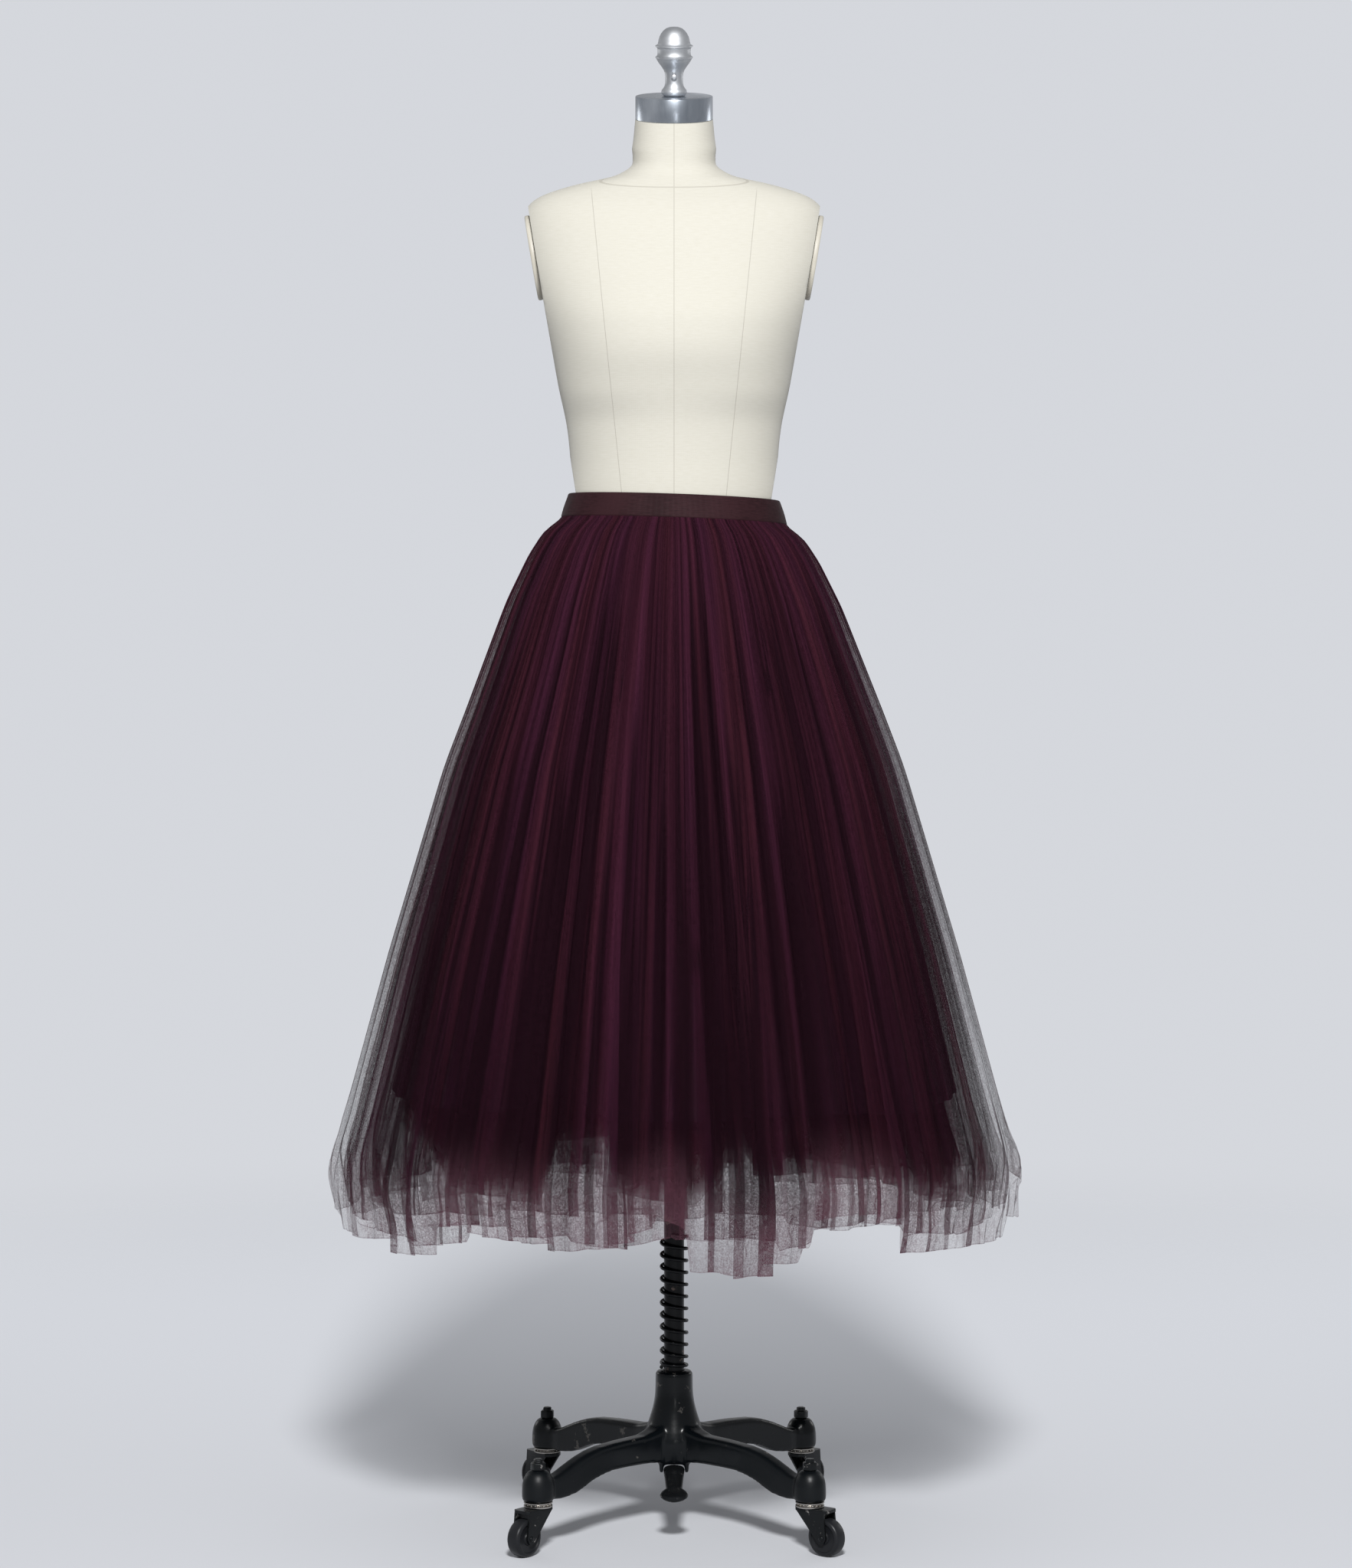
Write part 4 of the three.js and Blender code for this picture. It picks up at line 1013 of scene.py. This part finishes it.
def enamel_material(name, color, chip_color, chips, grain, roughness, pits, metallic):
    """Paint over metal: chips down to another colour, and duller where it is smudged."""
    made, tree, shader = plain_material(name)
    marks = put(tree, wear, Place=here(tree), Chips=chips, Grain=grain)
    look = {
        "Base Color": blend_colors(tree, marks.outputs["Chip"], color, chip_color),
        "Roughness": ramp(tree, marks.outputs["Smudge"], 0, 1, *roughness),
        "Normal": raised(tree, marks.outputs["Height"], pits, 0.7),
        "Metallic": metallic,
        "Specular IOR Level": 0.2,
    }
    feed(tree, shader, look)
    return made


def steel_material(name, dark, light, roughness, lines, streak):
    """Bare metal with fine tool lines, finest along the streak's last axis; broad colour bands are
    painted reflections.
    """
    made, tree, shader = plain_material(name)
    place = here(tree)
    fine = noise(tree, place, streak, 4.0, 0.6)
    marks = put(tree, wear, Place=place, Chips=0.7, Grain=45)
    tone = times(tree, plus(tree, fine, marks.outputs["Smudge"]), 0.5)
    look = {
        "Base Color": blend_colors(tree, tone, dark, light),
        "Roughness": ramp(tree, tone, 0.2, 0.8, *roughness),
        "Normal": raised(tree, fine, lines, 0.5),
        "Metallic": 1.0,
    }
    feed(tree, shader, look)
    return made


# Colour, colour of the chips, where chips start, grain, roughness, depth of the pits, metallic.
IRON = ((0.0024, 0.0034, 0.0044), (0.060, 0.056, 0.051), 0.635, 34, (0.22, 0.42), 2e-4, 0.0)
SPRING_PAINT = ((0.0028, 0.0032, 0.0040), (0.05, 0.045, 0.04), 0.74, 60, (0.14, 0.26), 1e-4, 0.0)
FITTINGS = ((0.0085, 0.0095, 0.0105), (0.20, 0.19, 0.18), 0.63, 90, (0.20, 0.38), 1.2e-4, 0.4)
RUBBER = ((0.0105, 0.0112, 0.0130), (0.06, 0.057, 0.054), 0.70, 80, (0.34, 0.5), 1e-4, 0.0)
POLE_PAINT = ((0.0035, 0.0038, 0.0045), (0.085, 0.062, 0.054), 0.60, 42, (0.16, 0.36), 1.2e-4, 0.3)
WOOD = ((0.20, 0.125, 0.065), (0.30, 0.20, 0.115), 0.55, 30, (0.5, 0.7), 2e-4, 0.0)
iron = enamel_material("cast_iron_enamel", *IRON)
glossy = enamel_material("spring_enamel", *SPRING_PAINT)
fitting = enamel_material("black_fittings", *FITTINGS)
rubber = enamel_material("wheel_rubber", *RUBBER)
painted_pole = enamel_material("worn_pole", *POLE_PAINT)
wood = enamel_material("plain_wood", *WOOD)
# Dark and light colour, roughness, depth of the lines, grain.
# On the cap the dark and light colours lie in broad upright bands: painted reflections.
CAP_STEEL_PAINTED_REFLECTIONS = ((0.20, 0.235, 0.28), (0.80, 0.84, 0.90), (0.24, 0.34), 1e-5, (75, 75, 3))
CAST_SILVER = ((0.44, 0.455, 0.475), (0.60, 0.615, 0.635), (0.46, 0.56), 1e-4, (160, 160, 160))
RACE_STEEL = ((0.16, 0.15, 0.14), (0.62, 0.59, 0.55), (0.22, 0.4), 5e-5, (6, 6, 900))
brushed_with_painted_reflections = steel_material("brushed_cap", *CAP_STEEL_PAINTED_REFLECTIONS)
silver = steel_material("cast_finial", *CAST_SILVER)
race_steel = steel_material("race_steel", *RACE_STEEL)
print("materials:", len(bpy.data.materials))

# %% [markdown]
# The neck ends in a turned steel cap with a cast finial screwed on top, both leaning with the neck.
# They are modelled upright at the origin and then leaned over in one step, so that their profiles
# stay simple tables of radius and height.

# %% Neck cap and finial
CAP_HIGH, SEAM = 28.3, 0.3
SCREW_OUT, SCREW_UP = 11.9, 24  # from the finial's axis and foot
FINIAL = [
    (12.2, 0), (13.6, 0.8), (15.0, 2.2), (15.7, 4.6), (15.2, 7.0), (13.4, 9.2), (11.7, 12), (11.0, 16),
    (10.9, 21), (11.2, 27), (12.6, 31), (15.4, 35.4), (18.6, 39.6), (20.9, 43.2), (21.9, 45.2),
    (22.9, 46.2), (22.9, 47.2), (21.3, 48.2), (20.4, 50), (20.1, 53.5), (20.4, 57), (21.2, 58.6),
    (22.9, 59.7), (22.9, 60.9), (21.2, 61.8), (19.9, 62.6), (19.8, 64.2), (19.3, 65.4), (18.9, 68),
    (17.8, 71.6), (16.0, 75.2), (13.4, 78.6), (9.8, 81.6), (5.4, 83.1), (1.2, 83.5),
]


def on_neck(piece, above):
    """A piece modelled upright at the origin is set on the leaning neck."""
    lean = Matrix.Rotation(math.radians(NECK_TILT), 4, "X")
    up = Matrix.Translation((0, 0, above * MM))
    piece.data.transform(Matrix.Translation((0, -NECK_LEAN, NECK_TOP)) @ lean @ up @ piece.matrix_world)
    piece.matrix_world = Matrix.Identity(4)
    return piece


cap_rows = [(46.9, 0), (47.4, 0.5), (47.4, 27.3), (47.1, 27.9)]
cap_rows += [(radius, CAP_HIGH) for radius in (46.4, 30, 13)]
cap = on_neck(turned("steel_neck_cap", in_metres(cap_rows), 96), SEAM)
finished(cap, brushed_with_painted_reflections, sharp=30)
dress(cap, "form", "neck_cap")

knob = on_neck(turned("cast_finial_knob", in_metres(FINIAL), 64), CAP_HIGH + 2 * SEAM)
finished(knob, silver, sharp=50)
dress(knob, "form", "finial")

screw_rows = [(3.1, 0), (3.6, 0.4), (3.6, 2.0), (2.9, 2.9), (1.6, 3.2)]
screw = turned("finial_thumb_screw", in_metres(screw_rows), 20)
lying = Matrix.Rotation(math.pi / 2, 4, "X")
screw.data.transform(Matrix.Translation((0, -SCREW_OUT * MM, SCREW_UP * MM)) @ lying)
finished(on_neck(screw, CAP_HIGH + 2 * SEAM), silver, sharp=40)
dress(screw, "form", "finial_screw")
print("finial top at", round(max(v.co.z for v in knob.data.vertices), 4))

# %% [markdown]
# Under the form a plain wooden disc carries an iron socket, which turns on the top of the pole. They
# hardly show, but they are finished all the same, because the skirt can be looked into from below.
# The pole is a steel tube painted black, and the spring's rubbing has taken the paint off in places.

# %% Disc, socket and pole
disc_rows = [(87, 972.7), (88, 973.7), (88, 983.7), (87, 984.7)]
disc = finished(turned("wooden_base_disc", in_metres(disc_rows), 72), wood)
dress(disc, "form", "form_base_plate")


def ring_piece(name, outline, sides):
    """A ring about Z spun from a closed outline of radius and height in metres."""
    deselect()
    bpy.ops.mesh.primitive_circle_add(vertices=len(outline), radius=1, fill_type="NOTHING")
    piece = bpy.context.object
    piece.name = name
    for vertex, (radius, height) in zip(piece.data.vertices, outline):
        vertex.co = (radius, 0, height)
    edit_all()
    bpy.ops.mesh.spin(steps=sides, angle=2 * math.pi, center=(0, 0, 0), axis=(0, 0, 1))
    bpy.ops.mesh.select_all(action="SELECT")
    bpy.ops.mesh.remove_doubles(threshold=WELD)
    bpy.ops.mesh.normals_make_consistent(inside=False)
    edit_done()
    return piece


socket_outline = [
    (13.1, 925), (22.8, 925), (24, 926.2), (24, 971.2),
    (22.8, 972.4), (3, 972.4), (3, 962.6), (13.1, 962.6),
]
socket = finished(ring_piece("iron_pole_socket", in_metres(socket_outline), 48), iron)
dress(socket, "form", "pole_socket")

pole_rows = [(11.6, 84), (12.4, 85), (12.4, 961), (11.4, 962)]
pole = finished(turned("steel_pole", in_metres(pole_rows), 48), painted_pole)
dress(pole, "post", "pole")

# %% [markdown]
# The bumper spring is one long wire. A curve with a round bevel is the natural way to make a wire:
# its centreline is a helix with a closed last turn on the hub. It is turned into a mesh at the end.

# %% Bumper spring
SPRING = {"bottom": 0.1913, "top": 0.356, "pitch": 0.0147, "wire": 0.0046, "radius": 0.0155}
STEPS = 36  # points in a turn
foot_turn = SPRING["wire"] * 1.3  # how far the closed turn rises
open_turns = (SPRING["top"] - SPRING["bottom"] - foot_turn) / SPRING["pitch"]
turns = np.arange(int((open_turns + 1) * STEPS) + 1) / STEPS
rise = SPRING["bottom"] + foot_turn * np.minimum(turns, 1)
rise += SPRING["pitch"] * np.maximum(turns - 1, 0)
wire = bpy.data.curves.new("spring_wire", "CURVE")
wire.dimensions = "3D"
wire.bevel_depth = SPRING["wire"] / 2
wire.bevel_resolution = 4
wire.use_fill_caps = True
line = wire.splines.new("POLY")
line.points.add(len(turns) - 1)
for point, t, z in zip(line.points, turns, rise):
    bearing = math.pi - 2 * math.pi * t
    out = SPRING["radius"]
    point.co = (out * math.cos(bearing), out * math.sin(bearing), z, 1)
spring = bpy.data.objects.new("coil_bumper_spring", wire)
scene.collection.objects.link(spring)
select_only(spring)
bpy.ops.object.convert(target="MESH")
spring = finished(bpy.context.object, glossy, sharp=60)
dress(spring, "base", "bumper_spring")
print("spring:", round(turns[-1], 2), "turns")

# %% [markdown]
# The base is one iron casting: a hub, four legs with chamfered tops and a boss at each end. A casting
# has no sharp inside corners, because sand can't hold them. So the rough shapes are modelled apart,
# joined, remeshed into one skin and smoothed a little, which fills each corner with a fillet. The
# bores are cut last, with a boolean, as a drill would.

# %% Base casting
STANCE = 0.161
HUB = [
    (35, 80), (36.5, 83), (37.5, 96), (37, 108), (32, 124), (27, 140),
    (23.8, 156), (22.9, 172), (22.8, 184.6), (22.2, 187), (20.6, 188),
]
BOSS = [
    (17.6, 62), (19.0, 63.5), (19.4, 67), (19.2, 80),
    (18.2, 86), (15.9, 92), (12.6, 96.4), (9.4, 98.5),
]
# A leg from the hub out: distance, top, bottom and half width, in millimetres.
LEG = [
    (14, 132, 80.5, 17.5), (26, 125, 81, 16.5), (40, 119.5, 81.5, 14.5),
    (56, 115.6, 82, 12.2), (90, 114.8, 82.6, 11.3), (115, 113.5, 82, 11),
    (132, 112, 79.3, 11), (147, 109.2, 75, 11), (160, 105.4, 69.6, 11),
    (174, 100.2, 64, 11), (198, 90, 60.8, 11), (222, 85, 63, 9),
]
LEG_CHAMFER = 5 * MM
EARS = [  # two corners of each block, in millimetres
    ((-18, -33, 68), (-13, -19, 88)), ((13, -33, 68), (18, -19, 88)),
    ((-13.5, -33, 77.8), (13.5, -19, 90)), ((-14, -20, 75), (14, -12, 90)),
]
POLE_BORE, STEM_BORE = (13.1, 50, 200), (5.8, 55, 79.3)  # radius, bottom and top
GRAIN_OF_SKIN, FILLET_PASSES = 0.0019, 14


def leg(bearing):
    """A leg extruded outwards from a plate, with two corners bevelled into the chamfers."""
    deselect()
    out, top, bottom, half = (value * MM for value in LEG[0])
    bpy.ops.mesh.primitive_plane_add(size=1, rotation=(0, math.pi / 2, 0))
    piece = bpy.context.object
    bpy.ops.object.transform_apply(location=True, rotation=True)
    for vertex in piece.data.vertices:
        high = top if vertex.co.z > 0 else bottom
        vertex.co = (out, half if vertex.co.y > 0 else -half, high)
    edit_all()
    mesh = bmesh.from_edit_mesh(piece.data)
    for vertex in mesh.verts:
        vertex.select = vertex.co.z > bottom + MM
    mesh.select_flush(False)
    bmesh.update_edit_mesh(piece.data)
    bpy.ops.mesh.bevel(offset=LEG_CHAMFER, affect="VERTICES")
    bpy.ops.mesh.select_all(action="SELECT")
    for row in LEG[1:]:
        next_out, next_top, next_bottom, next_half = (value * MM for value in row)
        bpy.ops.mesh.extrude_region_move(TRANSFORM_OT_translate={"value": (next_out - out, 0, 0)})
        grow = (next_top - next_bottom) / (top - bottom)
        stretch = (1, next_half / half, grow)
        bpy.ops.transform.resize(value=stretch, center_override=(next_out, 0, bottom))
        bpy.ops.transform.translate(value=(0, 0, next_bottom - bottom))
        out, top, bottom, half = next_out, next_top, next_bottom, next_half
    bpy.ops.mesh.select_all(action="SELECT")
    bpy.ops.mesh.normals_make_consistent(inside=False)
    edit_done()
    piece.data.transform(Matrix.Rotation(bearing, 4, "Z"))
    return piece


def block(low, high):
    """A plain box between two corners, in millimetres."""
    bpy.ops.mesh.primitive_cube_add(size=1)
    piece = bpy.context.object
    size = [(b - a) * MM for a, b in zip(low, high)]
    centre = [(a + b) / 2 * MM for a, b in zip(low, high)]
    piece.data.transform(Matrix.Translation(centre) @ Matrix.Diagonal((*size, 1)))
    return piece


def join(pieces):
    select_only(*pieces)
    bpy.ops.object.transform_apply(location=True, rotation=True, scale=True)
    bpy.ops.object.join()
    return bpy.context.object


CORNERS = {"front_left": (-1, -1), "front_right": (1, -1), "rear_left": (-1, 1), "rear_right": (1, 1)}
rough = [turned("iron_base_casting", in_metres(rounded(HUB, 2)), 64)]
for x, y in CORNERS.values():
    rough.append(leg(math.atan2(y, x)))
    rough.append(turned("boss", in_metres(rounded(BOSS, 2)), 40, at=(x * STANCE, y * STANCE)))
rough += [block(low, high) for low, high in EARS]
casting = join(rough)
modified(casting, "REMESH", mode="VOXEL", voxel_size=GRAIN_OF_SKIN, use_smooth_shade=True)
modified(casting, "SMOOTH", factor=0.5, iterations=FILLET_PASSES)


def drilled(bore, sides, at=(0, 0)):
    """What a bore takes away."""
    radius, bottom, top = bore
    return turned("drill", in_metres([(radius, bottom), (radius, top)]), sides, at)


drills = [drilled(POLE_BORE, 48)]
drills += [drilled(STEM_BORE, 24, (x * STANCE, y * STANCE)) for x, y in CORNERS.values()]
drill = join(drills)
finished(drill, iron)
modified(casting, "BOOLEAN", operation="DIFFERENCE", object=drill, solver="EXACT")
bpy.data.objects.remove(drill)
finished(casting, iron, sharp=50)
dress(casting, "base", "base_casting")
print("casting:", len(casting.data.polygons), "faces")

# %% [markdown]
# The foot pedal hangs between two ears at the front of the hub: a tapering lever with cross ribs for
# grip and a round pad at its end. It is extruded forward from a small plate, and every other row of
# the grip is a little thicker, which makes the ribs.

# %% Foot pedal
PEDAL_PIVOT, PEDAL_DROP = (-26, 72), 10  # millimetres behind and up, degrees
RIB_FROM, RIB_STEP, RIB_ROWS, RIB, GROOVE = 28, 2, 19, 9.6, 8.2
# The pedal from its pivot out: distance, half width and thickness, in millimetres.
PEDAL = [(0, 12.6, 10), (4, 12.9, 10), (26, 11.8, 9.2)]
for i in range(RIB_ROWS):
    PEDAL.append((RIB_FROM + RIB_STEP * i, 11.6 - 0.10 * i, RIB if i % 2 else GROOVE))
PEDAL += [
    (67, 10.6, 8.4), (71, 12.8, 9.4), (76, 15.4, 10.4), (84, 17, 11),
    (90, 16.2, 10.6), (95, 13.2, 9.4), (98, 9, 7.6), (99, 6, 6),
]
deselect()
out, half, thick = PEDAL[0]
bpy.ops.mesh.primitive_circle_add(
    vertices=20, radius=0.5, fill_type="NGON", rotation=(math.pi / 2, 0, 0)
)
pedal = bpy.context.object
pedal.name = "ribbed_foot_pedal"
bpy.ops.object.transform_apply(location=True, rotation=True)
edit_all()
bpy.ops.transform.resize(value=(2 * half * MM, 1, thick * MM), center_override=(0, 0, 0))
for next_out, next_half, next_thick in PEDAL[1:]:
    forward = (0, (out - next_out) * MM, 0)
    bpy.ops.mesh.extrude_region_move(TRANSFORM_OT_translate={"value": forward})
    grow = (next_half / half, 1, next_thick / thick)
    bpy.ops.transform.resize(value=grow, center_override=(0, -next_out * MM, 0))
    out, half, thick = next_out, next_half, next_thick
edit_done()
drop = Matrix.Rotation(math.radians(PEDAL_DROP), 4, "X")
pivot = Matrix.Translation((0, PEDAL_PIVOT[0] * MM, PEDAL_PIVOT[1] * MM))
pedal.data.transform(pivot @ drop)
finished(pedal, fitting, sharp=35)
dress(pedal, "pedal", "foot_pedal")

# %% [markdown]
# Each caster has a nut over its boss, a bearing race with a ring of balls, a pressed fork and a hard
# wheel. One of each kind is modelled in the caster's own frame and then set at the four corners, each
# turned the way that caster trails.

# %% Casters
TRAILS = {"front_left": -130, "front_right": -38, "rear_left": 127, "rear_right": 58}
TRAIL, WHEEL_RADIUS = 24.5, 22.2
BALLS, BALL_RADIUS, BALL_RING, BALL_HIGH = 18, 1.25, 15.1, 58.5
axle_end = [(3.3, 12.4), (3.0, 13.2), (1.8, 13.6)]
axle_rows = [(radius, -out) for radius, out in reversed(axle_end)] + axle_end
wheel_face = [
    (3.9, 8.9), (7.2, 8.9), (7.8, 8.2), (8.2, 7.0), (15.6, 7.0), (16.4, 7.4),
    (17.2, 8.9), (18.8, 8.9), (20.4, 8.2), (21.6, 6.9), (22.15, 5.2),
]
wheel_outline = [(radius, -out) for radius, out in wheel_face]
wheel_outline += [(WHEEL_RADIUS, 0), *reversed(wheel_face)]
race_outline = [
    (7.2, 55.3), (16.6, 55.3), (17.2, 55.9), (17.2, 57.0), (15.0, 57.3), (14.4, 58.0), (14.4, 59.0),
    (15.0, 59.8), (17.2, 60.1), (17.2, 61.2), (16.6, 61.7), (7.2, 61.7),
]
nut_rows = [
    (8.6, 98.8), (9.0, 99.2), (9.0, 106.6), (7.6, 107.9), (5.6, 107.9), (5.6, 111.0), (4.8, 111.8),
]


def crisp(piece, width, segments, angle):
    """Its sharp edges rounded a little, as a real edge is."""
    modified(
        piece, "BEVEL", width=width, segments=segments,
        limit_method="ANGLE", angle_limit=math.radians(angle),
    )


for corner, (x, y) in CORNERS.items():
    set_here = Matrix.Translation((x * STANCE, y * STANCE, 0))
    trail = set_here @ Matrix.Rotation(math.radians(TRAILS[corner]), 4, "Z")
    axle = trail @ Matrix.Translation((TRAIL * MM, 0, WHEEL_RADIUS * MM)) @ lying

    nut = turned("stem_nut_" + corner, in_metres(nut_rows), 6)
    bpy.ops.object.transform_apply(location=True)
    crisp(nut, 0.0006, 2, 28)
    nut.data.transform(set_here @ Matrix.Rotation(0.3 * x + 0.2 * y, 4, "Z"))
    finished(nut, fitting, sharp=30)
    dress(nut, "base", "caster_nut_" + corner)

    race = ring_piece("ball_race_" + corner, in_metres(race_outline), 48)
    balls = []
    for i in range(BALLS):
        bearing, out = 2 * math.pi * i / BALLS, BALL_RING * MM
        spot = (out * math.cos(bearing), out * math.sin(bearing), BALL_HIGH * MM)
        bpy.ops.mesh.primitive_ico_sphere_add(subdivisions=2, radius=BALL_RADIUS * MM, location=spot)
        balls.append(bpy.context.object)
    race = join([race, *balls])
    race.data.transform(set_here)
    finished(race, race_steel, sharp=40)
    dress(race, "base", "caster_race_" + corner)

    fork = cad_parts["caster_fork_" + corner].copy()
    fork.data = fork.data.copy()
    for key in list(fork.keys()):
        del fork[key]
    fork.parent = None
    fork.name = "pressed_fork_" + corner
    scene.collection.objects.link(fork)
    finished(fork, fitting, sharp=30)
    crisp(fork, 0.0007, 3, 40)
    rivet = turned("rivet", in_metres(axle_rows), 24)
    bpy.ops.object.transform_apply(location=True)
    rivet.data.transform(axle)
    fork = finished(join([fork, rivet]), fitting, sharp=35)
    dress(fork, "swivel_" + corner, "caster_fork_" + corner)

    wheel = ring_piece("hard_wheel_" + corner, in_metres(wheel_outline), 64)
    wheel.data.transform(axle)
    finished(wheel, rubber, sharp=35)
    dress(wheel, "wheel_" + corner, "caster_wheel_" + corner)
print("casters trail", TRAILS)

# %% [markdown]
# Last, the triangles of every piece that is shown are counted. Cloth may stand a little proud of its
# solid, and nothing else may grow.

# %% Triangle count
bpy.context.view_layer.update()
counts = {
    piece.name: sum(len(face.vertices) - 2 for face in piece.data.polygons)
    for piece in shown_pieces() if piece.type == "MESH"
}
print("triangles", sum(counts.values()), "most", max(counts.items(), key=lambda item: item[1]))
